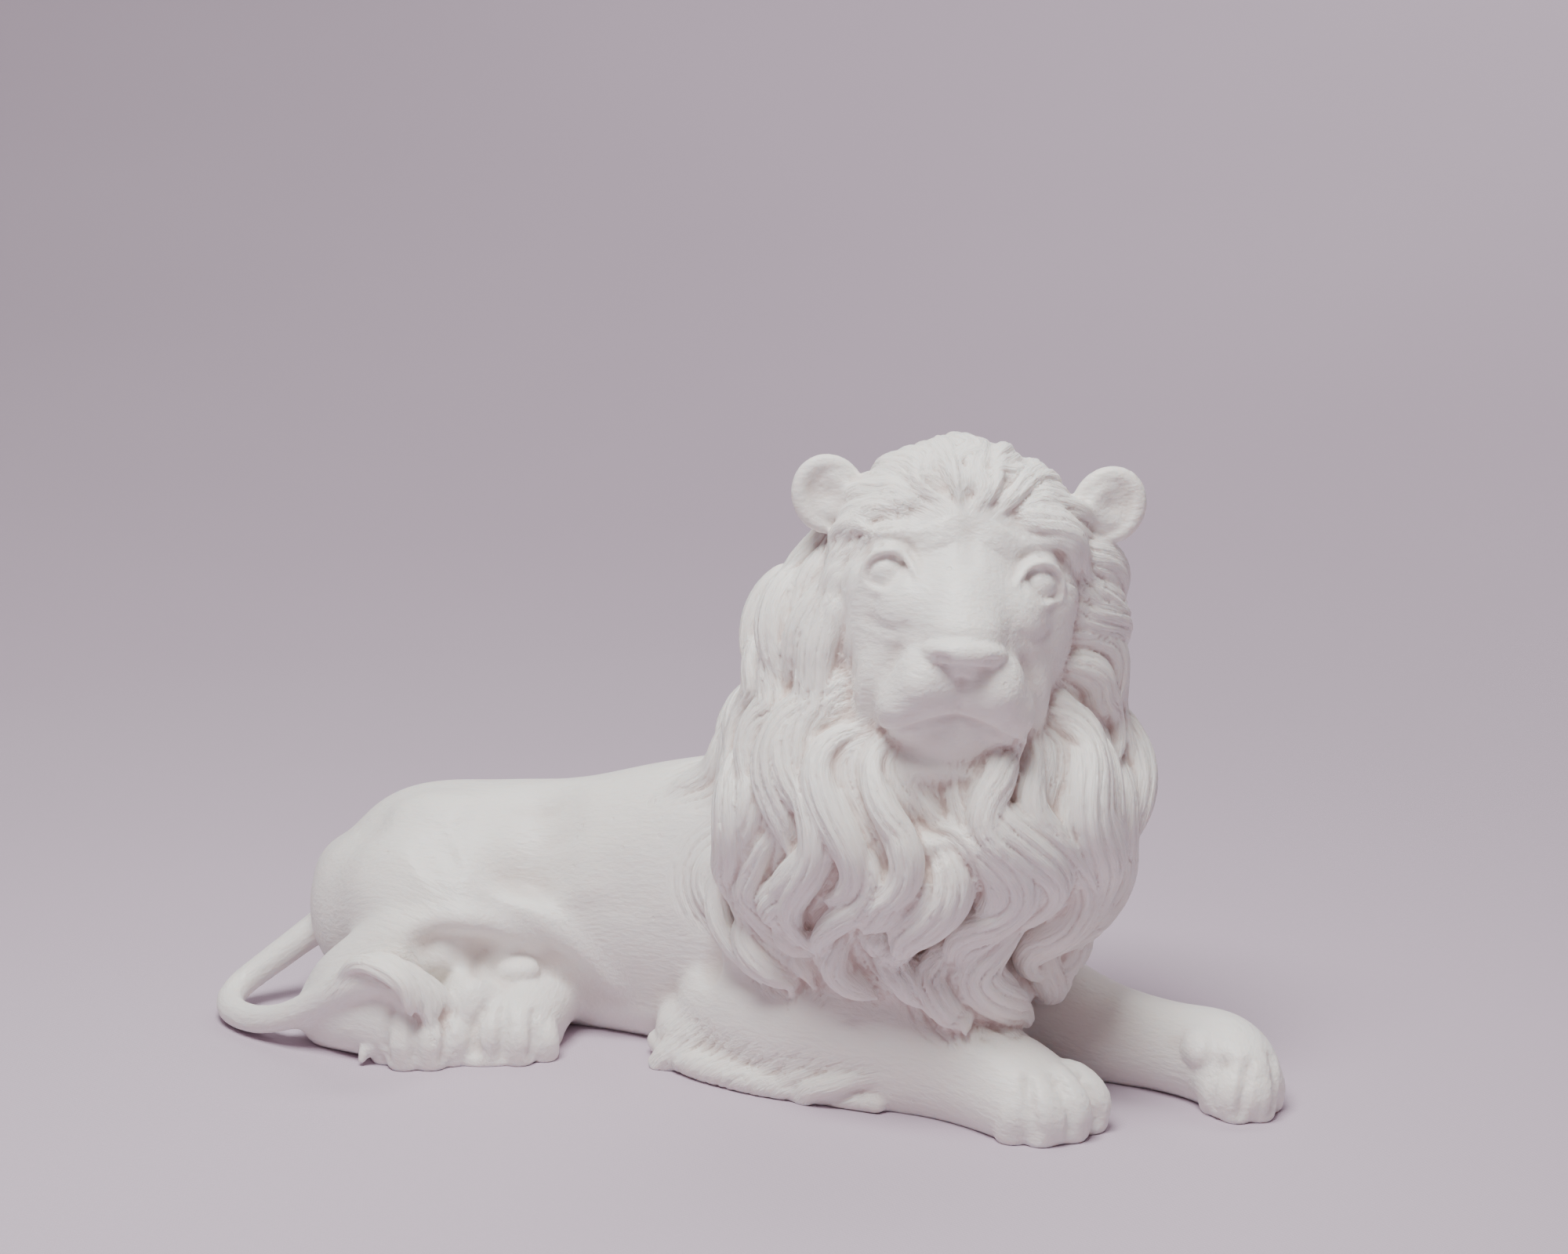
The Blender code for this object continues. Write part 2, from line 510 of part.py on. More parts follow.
def crown_tufts(clay, skin):
    """Tufts that fan out from the forehead's middle over the crown, and sweep back before the ears."""
    head = np.array(HEAD)
    rng = np.random.default_rng(11)
    plans = []
    for row in range(3):
        for i in range(7 - row):
            y = (i - 3 + 0.5 * row) * (5.6 + 0.5 * row) + rng.uniform(-1.2, 1.2)
            start = 14.8 + 3.8 * row + rng.uniform(-1.2, 1.2)
            rise = rng.uniform(-1.8, 1.2) + 0.5 * row
            lean = rng.uniform(-3.2, 3.2)
            plans.append(((16.0 - 0.006 * y * y - row, 0.34 * y, start - 0.002 * y * y),
                          (13.0 - row, 0.66 * y + lean, start + 4.5 - 0.006 * y * y),
                          (6.5, 1.0 * y - lean, 25.0 + rise - 0.022 * y * y),
                          (0, 1.25 * y, 25.5 + rise - 0.026 * y * y),
                          (-7, 1.42 * y + lean, 24.0 - 0.02 * y * y)))
    clay.frame = Matrix.Identity(4)
    for plan in plans:
        spots = smooth_rows(plan, 3)
        line = []
        ups = []
        for i, spot in enumerate(spots):
            t = i / (len(spots) - 1)
            p, n = skin.at(head[:3, :3] @ spot + head[:3, 3])
            line.append(p + n * (2.3 * math.sin(math.pi * t) - 0.9))
            ups.append(n)
        width = rng.uniform(2.4, 3.9)
        lay_lock(clay, np.array(line), np.array(ups), width, rng.uniform(3.4, 4.6), 1.25, 0.9)
    out = head[:3, 0]
    for side, ear, up in EARS:
        for i in range(3):
            drop = 4.6 * i
            reach = ear - 3.0
            plan = ((14.5 - 1.0 * i, side * (11.5 + 3.0 * i - 0.18 * i * i), 17.5 - drop),
                    (11.0 - i, side * (16.5 + 2.6 * i - 0.1 * i * i), 19.0 - 1.1 * drop),
                    (6.5 - 1.2 * i, side * (0.5 * reach + 0.5 * (21.5 + i)), 17.5 - 1.25 * drop),
                    (2.5 - 1.6 * i, side * reach, 13.5 - 1.45 * drop))
            spots = smooth_rows(plan, 3) @ head[:3, :3].T + head[:3, 3]
            line = []
            for k, spot in enumerate(spots):
                p, n = skin.at(spot)
                t = k / (len(spots) - 1)
                free = 0.8 * min(1.0, max(0.0, (t - 0.5) / 0.4))
                line.append((p + n * (0.6 + 1.6 * math.sin(math.pi * t))) * (1 - free) + spot * free)
            lay_lock(clay, np.array(line), np.tile(out, (len(line), 1)), rng.uniform(2.4, 3.4), 2.8, 0.95)
    clay.frame = BODY


def elbow_fur(clay):
    """Fringe of tufts swept back from the near elbow and forearm down to the floor."""
    rng = np.random.default_rng(3)
    clay.tube([(-38, 4.0, 3, 3.0, 2.6), (-31, 0.6, 3, 3.8, 3.4), (-21, -1.6, 2.8, 3.8, 3.6),
               (-6, -0.8, 2.4, 3.6, 3.4), (8, 3.0, 2, 3.2, 3.0), (20, 5.5, 2, 2.4, 2.4)], sides=12)
    for i in range(12):
        t = i / 11
        x = -32 + 38 * t + rng.uniform(-1.6, 1.6)
        size = (1.2 - 0.45 * t) * rng.uniform(0.8, 1.2)
        out = rng.uniform(-1.6, 0.2)
        back = rng.uniform(-2.5, 2.0)
        rows = [(x + 15, 5.2, 12.5 - 4 * t, 2.6 * size, 2.2 * size),
                (x + 8 + back, 1.4 + 0.6 * t, 7.5 - 2 * t, 3.4 * size, 3.0 * size),
                (x + 3 + back, -1.8 + 2.0 * t - out, 3.4, 3.0 * size, 2.8 * size),
                (x + 0.4 + back, -3.0 + 3.0 * t - out, 0.8, 2.4 * size, 2.0 * size)]
        clay.tube(rows, up=(0.2, -0.7, 0.7), sides=10)


def carve_sockets(obj):
    """Sockets of the eyes, and the recess behind the chin."""
    tool = Tool(obj, HEAD)
    for side in (1, -1):
        tool.stroke([(16, side * EYE[0], EYE[1] + 0.8)], 7.0, -1.5, facing=(1, 0, 0))
    tool.stroke([(19, 0, -38), (24, 0, -50)], 12.0, -7.0)
    tool.done()


def carve_body(obj):
    """Hip, waist, ribs, the fold between thigh and flank, and the skin's wrinkles."""
    tool = Tool(obj, BODY)
    tool.stroke([(-74, 5, 58), (-70, -1, 51), (-67, -4, 44), (-66, -7, 38), (-67, -9, 32)], 13.5, -3.4)
    tool.stroke([(-101, -16, 44), (-95, -14, 50), (-88, -10, 51), (-81, -8, 49)], 11.0, 1.2)
    tool.stroke([(-84, -24, 40), (-81, -20, 43), (-79, -16, 44)], 9.0, -1.3)
    tool.stroke([(-100, -24, 34), (-92, -27, 32), (-84, -27, 31)], 8.0, 0.8)
    tool.stroke([(-80, -22, 33), (-74, -16, 33), (-68, -10, 31)], 4.0, -0.6)
    tool.stroke([(-77, -25, 30), (-71, -17, 29), (-66, -10, 25), (-61, -8, 19)], 4.6, 1.6)
    tool.stroke([(-82, -29, 22), (-76, -26, 25), (-71, -20, 23), (-69, -14, 18)], 6.5, -4.0)
    tool.stroke([(-60, -3, 48), (-56, -6, 40), (-54, -6, 32)], 11.0, 1.0)
    tool.stroke([(-47, -3, 47), (-44, -4, 38), (-44, -4, 30)], 9.0, -0.7)
    tool.stroke([(-35, -2, 50), (-32, -3, 40), (-31, -2, 30)], 8.0, 0.8)
    tool.stroke([(-26, 0, 46), (-22, -1, 36), (-21, 2, 26), (-23, 0, 19)], 5.0, -2.0)
    tool.stroke([(-104, 24, 44), (-92, 32, 40), (-80, 34, 30)], 9.0, 1.0)
    tool.stroke([(-76, 36, 44), (-68, 38, 34), (-62, 38, 22)], 7.0, -1.4)
    tool.done()


def carve_face(obj):
    """Nostrils, mouth, muzzle, folds round the eyes, brow and hollows of the ears."""
    tool = Tool(obj, HEAD)
    for side, out, up in EARS:
        nostril = [(34.6, side * 3.0, -11.6), (34.0, side * 4.7, -10.7), (32.4, side * 6.3, -11.2)]
        tool.stroke(nostril, 1.7, -1.0)
        tool.stroke(tool.front([(side * 9.5, -8), (side * 13.6, -13), (side * 16.4, -19),
                                (side * 16.8, -25), (side * 15.6, -31)]), 3.2, -1.1)
        tool.stroke(tool.front([(side * 9, -15), (side * 12, -20), (side * 12.5, -25)]), 5.0, 0.4)
        eye = side * EYE[0]
        y, z = EYE[0], EYE[1]
        ring = [(side * (y + across), z + high)
                for across, high in ((-4.0, -1.8), (-3.5, 1.6), (0, 3.7), (3.5, 1.6), (4.0, -1.8))]
        tool.stroke(tool.front(ring), 1.0, -0.5)
        crease = [(eye + across, z + high)
                  for across, high in ((-6.8, 0.8), (-4.0, 5.6), (0, 7.0), (4.0, 5.6), (6.8, 0.8))]
        tool.stroke(tool.front(crease), 1.4, -0.7)
        tool.stroke(tool.front([(eye - 5, z - 8.2), (eye, z - 10.0), (eye + 5, z - 8.2)]), 2.2, -0.6)
        tool.stroke(tool.front([(side * 5.5, 8.5), (side * 7.5, 13.0)]), 6.0, 0.8)
        tool.stroke([(3.0, side * (out + 0.6), up + 0.6)], 4.6, -1.6, facing=(1, 0, 0))
    mouth = [(y, -23.5 - 5.6 * (abs(y) / 14) ** 1.5) for y in range(-14, 15, 2)]
    tool.stroke(tool.front(mouth), 1.5, -0.9, taper=False)
    tool.stroke(tool.front([(0, -15.5), (0, -18), (0, -20), (0, -22)]), 1.8, -0.7, taper=False)
    tool.stroke(tool.front([(0, 5.0), (0, 9.0), (0, 14.0)]), 3.0, -0.5)
    tool.done()


def carve_paws(obj):
    """Grooves between the toes, from the floor up over the paw."""
    tool = Tool(obj, BODY)
    for paw in PAWS:
        for (x0, y0, yaw0, size0), (x1, y1, yaw1, size1) in zip(paw, paw[1:]):
            a = math.radians(0.5 * (yaw0 + yaw1))
            size = 0.5 * (size0 + size1)
            path = [(0.5 * (x0 + x1) - back * size * math.cos(a),
                     0.5 * (y0 + y1) - back * size * math.sin(a), high * size)
                    for back, high in ((-1, 0.5), (-0.5, 4), (1.0, 7.5), (3.5, 10.5), (6.0, 12.0))]
            tool.stroke(path, 1.9, -1.0, snap=True)
    tool.done()


def resin():
    """White marble resin, smooth and slightly warm."""
    material = bpy.data.materials.new("white_marble_resin")
    material.use_nodes = True
    shader = material.node_tree.nodes["Principled BSDF"]
    shader.inputs["Base Color"].default_value = WHITE
    shader.inputs["Roughness"].default_value = ROUGHNESS
    shader.inputs["Metallic"].default_value = 0.0
    material.diffuse_color = WHITE
    return material


def sculpt():
    """The whole casting, untrimmed: trunk, then limbs and head, then the carving."""
    clay = Clay()
    trunk(clay)
    mane_core(clay)
    body = clay.melt("body", BODY_GRAIN, 0.6, 20)
    clay = Clay()
    face(clay)
    mask = clay.melt("mask", FACE_GRAIN, 0.6, 14)
    clay = Clay()
    clay.add(body)
    clay.add(mask)
    forelegs(clay)
    hind_legs(clay)
    tail(clay)
    rough = clay.melt("rough", LIMB_GRAIN, 0.5, 8)
    carve_sockets(rough)
    carve_body(rough)
    part_mane(rough)
    skin = Skin(rough)
    clay = Clay()
    clay.add(rough)
    ears(clay)
    eyes(clay, skin)
    nose(clay)
    toes(clay)
    tail_tuft(clay)
    elbow_fur(clay)
    crown_tufts(clay, skin)
    mane_locks(clay, skin)
    lion = clay.melt("lion", CARVING_GRAIN, 0.5, 2)
    carve_face(lion)
    carve_paws(lion)
    for spent in (body, mask, rough):
        bpy.data.objects.remove(spent)
    return lion


def trim_block(name, obj):
    """The block below the floor plane, wider than the lion on every side."""
    bpy.ops.mesh.primitive_cube_add(size=1)
    block = bpy.context.object
    block.name = name
    block.dimensions = (LENGTH * 1.5, LENGTH, FLOOR_DROP * UNIT)
    block.location = (0, 0, -FLOOR_DROP * UNIT / 2)
    block.hide_render = True
    block.display_type = "WIRE"
    return block


def main():
    for obj in list(bpy.data.objects):
        bpy.data.objects.remove(obj)
    parts = bpy.data.collections.new("lion_statue")
    cutters = bpy.data.collections.new("cutters")
    bpy.context.scene.collection.children.link(parts)
    bpy.context.scene.collection.children.link(cutters)
    lion = sculpt()
    bpy.context.scene.collection.objects.unlink(lion)
    parts.objects.link(lion)
    fewer = lion.modifiers.new("fewer", "DECIMATE")
    fewer.ratio = FACETS / (2 * len(lion.data.polygons))
    block = trim_block("floor_trim", lion)
    for home in list(block.users_collection):
        home.objects.unlink(block)
    cutters.objects.link(block)
    trim = lion.modifiers.new("flat_underside", "BOOLEAN")
    trim.operation = "DIFFERENCE"
    trim.object = block
    lion.data.materials.append(resin())
    lion.data.shade_smooth()


main()
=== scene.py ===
"""Looks of the reclining lion statuette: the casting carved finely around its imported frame."""

import json
import math

import bmesh
import bpy
import numpy as np
from mathutils import Matrix, Vector
from mathutils.bvhtree import BVHTree
from mathutils.kdtree import KDTree

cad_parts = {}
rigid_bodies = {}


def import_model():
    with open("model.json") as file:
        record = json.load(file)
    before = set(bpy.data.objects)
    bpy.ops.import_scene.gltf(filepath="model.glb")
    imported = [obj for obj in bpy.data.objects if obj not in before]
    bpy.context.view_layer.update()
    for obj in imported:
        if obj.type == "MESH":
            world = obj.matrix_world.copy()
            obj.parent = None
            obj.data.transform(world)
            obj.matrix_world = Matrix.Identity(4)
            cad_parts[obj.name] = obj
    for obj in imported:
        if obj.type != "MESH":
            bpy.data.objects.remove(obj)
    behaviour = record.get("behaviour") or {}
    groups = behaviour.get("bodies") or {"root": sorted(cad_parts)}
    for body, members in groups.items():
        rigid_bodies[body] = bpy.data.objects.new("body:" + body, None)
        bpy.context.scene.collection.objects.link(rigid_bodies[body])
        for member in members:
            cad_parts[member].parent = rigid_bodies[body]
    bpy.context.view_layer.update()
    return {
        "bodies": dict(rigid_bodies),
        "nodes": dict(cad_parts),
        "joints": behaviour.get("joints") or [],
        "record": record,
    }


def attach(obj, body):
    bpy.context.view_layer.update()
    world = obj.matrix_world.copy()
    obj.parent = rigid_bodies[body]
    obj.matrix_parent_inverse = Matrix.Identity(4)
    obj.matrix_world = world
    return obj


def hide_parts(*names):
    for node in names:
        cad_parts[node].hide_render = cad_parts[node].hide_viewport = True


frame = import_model()

LENGTH = 0.225
UNIT = LENGTH / 225.0

# Shares of the length.
BODY_GRAIN = 1.5        # grid that melts the trunk and the mane's core together
LIMB_GRAIN = 1.2        # grid that melts the limbs, the tail and the head on
FACE_GRAIN = 0.95       # grid of the face alone
CARVING_GRAIN = 0.55    # grid of the finished carving
LOCK_SPACING = 7.0      # side by side distance between the roots of the mane's locks
LOCK_STAGGER = 21.0     # distance between roots along the hair
LOCK_HALF_WIDTH = 4.6
LOCK_HALF_DEPTH = 4.5
LOCK_LIFT = 2.4         # how far a lock's belly stands off the core
WAVE_LENGTH = 38.0      # of the waves down the mane
LOW_LOCKS = 88.0        # height below which the mane's locks are long and stand out
SHORTEST_LOCK = 15.0
NAPE = -12.0            # locks that root behind this are short and lie flat
HEAD_HEIGHT = 112.0
ORIGIN = (-24.97, 11.48)    # middle of the casting's box, in the figure's own shares
STRAND = 2.5            # distance between the strands carved in a lock
STRAND_DEPTH = 0.5
FINE_HOLLOW = 0.35      # how deep a crevice and a hollow are where their painted shade is full
BROAD_HOLLOW = 1.5

# Counts.
HAIRLINE = 26           # roots round the face, of which the chin's two are left out
STATIONS = 3            # places looked up on a lock between two of its own points
TRIANGLES = 192000

# Metres.
STRAND_BUMP = 0.0007    # depth of the finest strands
MARBLE_DEPTH = 0.0010   # how far light travels in the casting
FLAT_FLOOR = 0.3        # radius of the floor before it rises
CAMERA_SPOT = (0.318, -0.4071, 0.2014)      # from the figure's own origin

CAMERA_TURN = 38.0      # degrees
CAMERA_TILT = 11.0
LENS = 59.4

MARBLE_COOL = (0.85, 0.815, 0.78, 1.0)
MARBLE_WARM = (0.87, 0.825, 0.775, 1.0)
# Painted shade: the warm dark tint laid into the casting's crevices and hollows.
MARBLE_PAINTED_SHADE = (0.58, 0.43, 0.38, 1.0)
MARBLE_SPREAD = (1.0, 0.78, 0.66)
CLOTH_DARK = (0.53, 0.435, 0.515, 1.0)
CLOTH_LIGHT = (0.58, 0.48, 0.565, 1.0)
SWEEP_RISE = 0.30       # how steeply the backdrop curves up
KEY_POWER = 8.6
FILL_POWER = 0.9
BACK_POWER = 22.0
ROOM_TINT = (0.95, 0.78, 0.70, 1)
ROOM_LIGHT = 0.11


def turned(yaw=0, pitch=0, roll=0):
    """Yaw about Z, then nose-up pitch, then roll about X, in degrees."""
    return (Matrix.Rotation(math.radians(yaw), 4, "Z")
            @ Matrix.Rotation(math.radians(-pitch), 4, "Y")
            @ Matrix.Rotation(math.radians(roll), 4, "X"))


BODY = Matrix.Translation((-ORIGIN[0], -ORIGIN[1], 0.0))
HEAD = BODY @ Matrix.Translation((27.6, 20.6, HEAD_HEIGHT)) @ turned(-50, 0, -5)
RUFF = BODY @ Matrix.Translation((17.0, 24.0, 0.0)) @ turned(-50)
EARS = ((1, 29.5, 16.6), (-1, 26.9, 14.3))      # side, distance from the face's middle, height
EYE = (14.9, 1.9)                               # distance from the face's middle, height
# Distance back, height and half sizes of a toe's cross-sections.
TOE = ((13.0, 10.0, 2.4, 2.6), (8.0, 9.4, 3.8, 3.8), (4.4, 5.8, 4.0, 4.8), (3.8, 2.0, 3.9, 3.6))
# X, y and yaw of each toe's tip, and its size.
PAWS = (
    ((53.5, 7.2, -45, 1.05), (59.6, 10.6, -28, 1.1), (63.4, 17.2, -12, 1.1), (64.0, 25.0, 6, 1.05)),
    ((74.0, 45.6, -112, 0.9), (80.6, 43.8, -92, 1.0), (85.8, 47.6, -62, 1.0), (86.4, 55.0, -28, 0.95)),
    ((-81.5, -40.2, -82, 1), (-74.2, -40.2, -62, 1.1), (-68.8, -35.8, -44, 1.1), (-66.2, -29.8, -24, 1)),
    ((-67.6, -26.8, -84, 0.95), (-61.6, -26.0, -66, 1.1),
     (-56.0, -22.2, -50, 1.0), (-52.8, -16.0, -34, 0.8)))


def smooth_rows(rows, per_span):
    """Rows of numbers with a smooth curve run through them."""
    p = np.array(rows, float)
    p = np.vstack([2 * p[0] - p[1], p, 2 * p[-1] - p[-2]])
    out = []
    for a, b, c, d in zip(p, p[1:], p[2:], p[3:]):
        t = np.linspace(0, 1, per_span, endpoint=False)[:, None]
        cubic = (3 * b - a - 3 * c + d) * t**3
        out.append(0.5 * (2 * b + (c - a) * t + (2 * a - 5 * b + 4 * c - d) * t**2 + cubic))
    return np.vstack(out + [p[-2][None]])


def unit(v):
    return v / max(np.linalg.norm(v), 1e-9)


def in_head(points):
    """Points as the head's frame sees them."""
    inverse = np.array(HEAD.inverted())
    return points @ inverse[:3, :3].T + inverse[:3, 3]


class Clay:
    """Balls and tubes that a voxel remesh melts into one skin."""

    def __init__(self):
        self.bm = bmesh.new()
        self.frame = BODY
        self.locks = []

    def ball(self, centre, radii, yaw=0, pitch=0, roll=0):
        place = (Matrix.Scale(UNIT, 4) @ self.frame @ Matrix.Translation(centre)
                 @ turned(yaw, pitch, roll) @ Matrix.Diagonal((*radii, 1)))
        bmesh.ops.create_icosphere(self.bm, subdivisions=3, radius=1.0, matrix=place)

    def tube(self, stations, up=(0, 0, 1), sides=16, per_span=4, caps=3, ups=None):
        """A round-ended loft through stations of x, y, z, half width and half height."""
        rows = smooth_rows(stations, per_span) if per_span > 1 else np.array(stations, float)
        mid = rows[:, :3]
        half = np.maximum(rows[:, 3:5], 0.05)
        run = np.gradient(mid, axis=0)
        run /= np.linalg.norm(run, axis=1)[:, None]
        ups = np.tile(np.array(up, float), (len(mid), 1)) if ups is None else np.array(ups, float)
        a = np.arange(1, caps + 1) / (caps + 1) * math.pi / 2
        r0 = half[0].min()
        r1 = half[-1].min()
        mid = np.vstack([mid[0] - run[0] * (r0 * np.cos(a))[:, None], mid,
                         mid[-1] + run[-1] * (r1 * np.sin(a))[:, None]])
        half = np.vstack([half[0] * np.sin(a)[:, None], half, half[-1] * np.cos(a)[:, None]])
        tips = np.array([rows[0, :3] - run[0] * r0, rows[-1, :3] + run[-1] * r1])
        run = np.vstack([np.tile(run[0], (caps, 1)), run, np.tile(run[-1], (caps, 1))])
        ups = np.vstack([np.tile(ups[0], (caps, 1)), ups, np.tile(ups[-1], (caps, 1))])
        side = np.cross(run, ups)
        side /= np.linalg.norm(side, axis=1)[:, None]
        top = np.cross(side, run)
        angle = np.linspace(0, 2 * math.pi, sides, endpoint=False)
        ring = (mid[:, None] + side[:, None] * (np.cos(angle) * half[:, :1])[..., None]
                + top[:, None] * (np.sin(angle) * half[:, 1:])[..., None])
        place = np.array(self.frame)
        ring = (ring @ place[:3, :3].T + place[:3, 3]) * UNIT
        tips = (tips @ place[:3, :3].T + place[:3, 3]) * UNIT
        rings = [[self.bm.verts.new(p) for p in r] for r in ring]
        first = self.bm.verts.new(tips[0])
        last = self.bm.verts.new(tips[1])
        for p, q in zip(rings, rings[1:]):
            for i in range(sides):
                j = (i + 1) % sides
                self.bm.faces.new((p[i], q[i], q[j], p[j]))
        for i in range(sides):
            j = (i + 1) % sides
            self.bm.faces.new((rings[0][i], rings[0][j], first))
            self.bm.faces.new((rings[-1][j], rings[-1][i], last))

    def add(self, obj):
        self.bm.from_mesh(obj.data)

    def melt(self, name, grain, soften, rounds):
        """One object made of everything in the clay, on a grid, then softened."""
        mesh = bpy.data.meshes.new(name)
        self.bm.to_mesh(mesh)
        self.bm.free()
        obj = bpy.data.objects.new(name, mesh)
        bpy.context.scene.collection.objects.link(obj)
        melt = obj.modifiers.new("melt", "REMESH")
        melt.mode = "VOXEL"
        melt.voxel_size = grain * UNIT
        smooth = obj.modifiers.new("soften", "SMOOTH")
        smooth.factor = soften
        smooth.iterations = rounds
        graph = bpy.context.evaluated_depsgraph_get()
        obj.data = bpy.data.meshes.new_from_object(obj.evaluated_get(graph))
        obj.modifiers.clear()
        return obj


def read(items, name, width, kind=float):
    """Rows of one property of a mesh's points, edges, corners or faces."""
    values = np.empty(len(items) * width, kind)
    items.foreach_get(name, values)
    return values.reshape(-1, width)


def shares(mesh):
    """The mesh's points and normals, in shares."""
    points = read(mesh.vertices, "co", 3, np.float32)
    normals = read(mesh.vertex_normals, "vector", 3, np.float32)
    return points / UNIT, normals.astype(float)


class Skin:
    """Nearest point, normal and depth of a surface, in shares."""

    def __init__(self, obj):
        self.points, self.normals = shares(obj.data)
        faces = [tuple(f.vertices) for f in obj.data.polygons]
        self.tree = BVHTree.FromPolygons([Vector(p) for p in self.points], faces)

    def at(self, p):
        point, normal, _, _ = self.tree.find_nearest(Vector(p))
        return np.array(point), np.array(normal)

    def face_depth(self, y, z):
        """How far forward the face is, at a side distance and a height of the head's frame."""
        hit = self.tree.ray_cast(HEAD @ Vector((80, y, z)), HEAD.to_3x3() @ Vector((-1, 0, 0)))[0]
        return (HEAD.inverted() @ hit).x


class Tool:
    """A modelling tool that presses the skin in or draws it out along strokes."""

    def __init__(self, obj, frame):
        self.mesh = obj.data
        self.co, self.no = shares(self.mesh)
        self.move = np.zeros(len(self.co))
        self.frame = np.array(frame)

    def stroke(self, path, radius, height, taper=True, facing=None, snap=False):
        path = np.array(path, float) @ self.frame[:3, :3].T + self.frame[:3, 3]
        path = smooth_rows(path, 4) if len(path) > 1 else np.vstack([path, path + 0.01])
        if snap:
            path = np.array([self.co[((self.co - p) ** 2).sum(1).argmin()] for p in path])
            path = path[np.append(True, np.linalg.norm(np.diff(path, axis=0), axis=1) > 1e-6)]
        reach = ((self.co > path.min(0) - radius) & (self.co < path.max(0) + radius)).all(1)
        near = np.where(reach)[0]
        best = np.full(len(near), 1e9)
        where = np.zeros(len(near))
        for i, (a, b) in enumerate(zip(path, path[1:])):
            t = np.clip(((self.co[near] - a) @ (b - a)) / ((b - a) @ (b - a)), 0, 1)
            d = np.linalg.norm(self.co[near] - a - t[:, None] * (b - a), axis=1)
            closer = d < best
            best[closer] = d[closer]
            where[closer] = (i + t[closer]) / (len(path) - 1)
        fall = np.clip(1 - (best / radius) ** 2, 0, 1) ** 2
        if taper and len(path) > 2:
            fall *= np.clip(np.sin(math.pi * where) * 1.8, 0, 1)
        if facing is not None:
            fall *= np.clip((self.no[near] @ (self.frame[:3, :3] @ np.array(facing, float))) * 3, 0, 1)
        self.move[near] += fall * height

    def front(self, path):
        """Points on the foremost skin at side distances and heights of the tool's frame."""
        local = (self.co - self.frame[:3, 3]) @ self.frame[:3, :3]
        points = []
        for y, z in path:
            close = (np.abs(local[:, 1:] - (y, z)) < 0.6).all(1)
            points.append((local[close, 0].max(), y, z))
        return points

    def done(self):
        co = (self.co + self.no * self.move[:, None]) * UNIT
        self.mesh.vertices.foreach_set("co", co.astype(np.float32).ravel())
        self.mesh.update()


def trunk(clay):
    """Back, belly, haunches and shoulders of the body lying on its left hip."""
    clay.tube([(-117.5, -10, 27, 11.5, 13.5), (-105, -4, 29, 21, 23), (-88, 4, 28, 24, 26),
               (-68, 13, 29, 20, 27), (-46, 21, 31, 21, 31), (-20, 26, 33, 23, 35),
               (5, 28, 36, 26, 37), (22, 28, 36, 22, 32)], sides=32)
    clay.tube([(-80, 6, 12, 12, 14), (-64, 15, 11, 14, 14), (-42, 23, 11, 18, 15),
               (-10, 28, 12, 22, 16), (18, 29, 16, 20, 18)], sides=24)
    clay.ball((-92, -8, 34), (19, 12, 19), yaw=20)
    clay.ball((-89, -16, 27), (23, 13, 20), yaw=18, pitch=-12)
    clay.ball((-108, -15, 24), (17, 13, 19))
    clay.ball((-92, 17, 22), (24, 18, 26))
    clay.ball((-104, -6, 14), (18, 16, 20))
    clay.ball((-50, 14, 34), (18, 15, 23), yaw=20)
    clay.ball((-10, 12, 32), (19, 13, 25), pitch=-10)
    clay.ball((0, 46, 33), (19, 12, 25), pitch=-10)


def mane_core(clay):
    """The full mass of the mane before its locks are laid on."""
    clay.frame = RUFF
    clay.ball((-5, 1.5, 38), (27, 33, 24))
    clay.ball((-3, 1, 52), (33, 41, 28))
    clay.ball((0, 1.5, 66), (37, 42.5, 34))
    clay.ball((-4, 3, 92), (31, 38.5, 32))
    clay.frame = HEAD
    clay.ball((-9, 4, -4), (20, 30, 25))
    clay.frame = BODY
    clay.ball((-9, 28, 64), (27, 24, 27))


def forelegs(clay):
    clay.tube([(-24, 9, 11, 10, 15), (-8, 9, 12, 12, 19), (12, 13, 12, 12, 18),
               (28, 17, 10, 11, 15), (40, 18, 8, 11, 12.5), (50, 18, 6, 12, 10),
               (55, 18, 5, 10, 8)], sides=24)
    clay.ball((-27, 8, 6), (13, 11, 9))
    clay.tube([(-6, 52, 14, 9, 13), (20, 54, 12, 12, 15), (42, 56, 8, 11, 12),
               (58, 57, 8, 9.5, 10), (71.5, 57, 8, 10, 10.5), (78.2, 53, 6.5, 9.5, 9.5),
               (79, 50, 5, 8, 7)], sides=24)


def hind_legs(clay):
    """Right leg folded under the tail, left foot coming out from under the belly."""
    clay.tube([(-76, -18, 28, 7, 8), (-86, -26, 23, 8, 9), (-96, -33, 14, 7, 9),
               (-101, -35, 8, 6.5, 8)], sides=20)
    clay.tube([(-102, -36, 6, 6, 8), (-93, -35, 8, 8, 9), (-83, -33, 8.5, 9, 9.5),
               (-76, -31, 6, 9, 8)], sides=20)
    clay.tube([(-72, 8, 10, 8, 9), (-67, -3, 8, 8.5, 8.5), (-64.0, -11.5, 7.5, 9, 8),
               (-62, -16.5, 6.5, 8, 7.6)], sides=20)
    clay.tube([(-78, -16, 33, 4, 4), (-66, -8, 30, 4, 4.5), (-56, -1, 23, 3.5, 4),
               (-50, 4, 14, 3, 3)], sides=14)
    clay.ball((-74, -8, 8), (14, 12, 10))
    clay.ball((-71, -14, 1), (15, 16, 6))
    clay.ball((-71, -21, 10), (7, 7, 9))


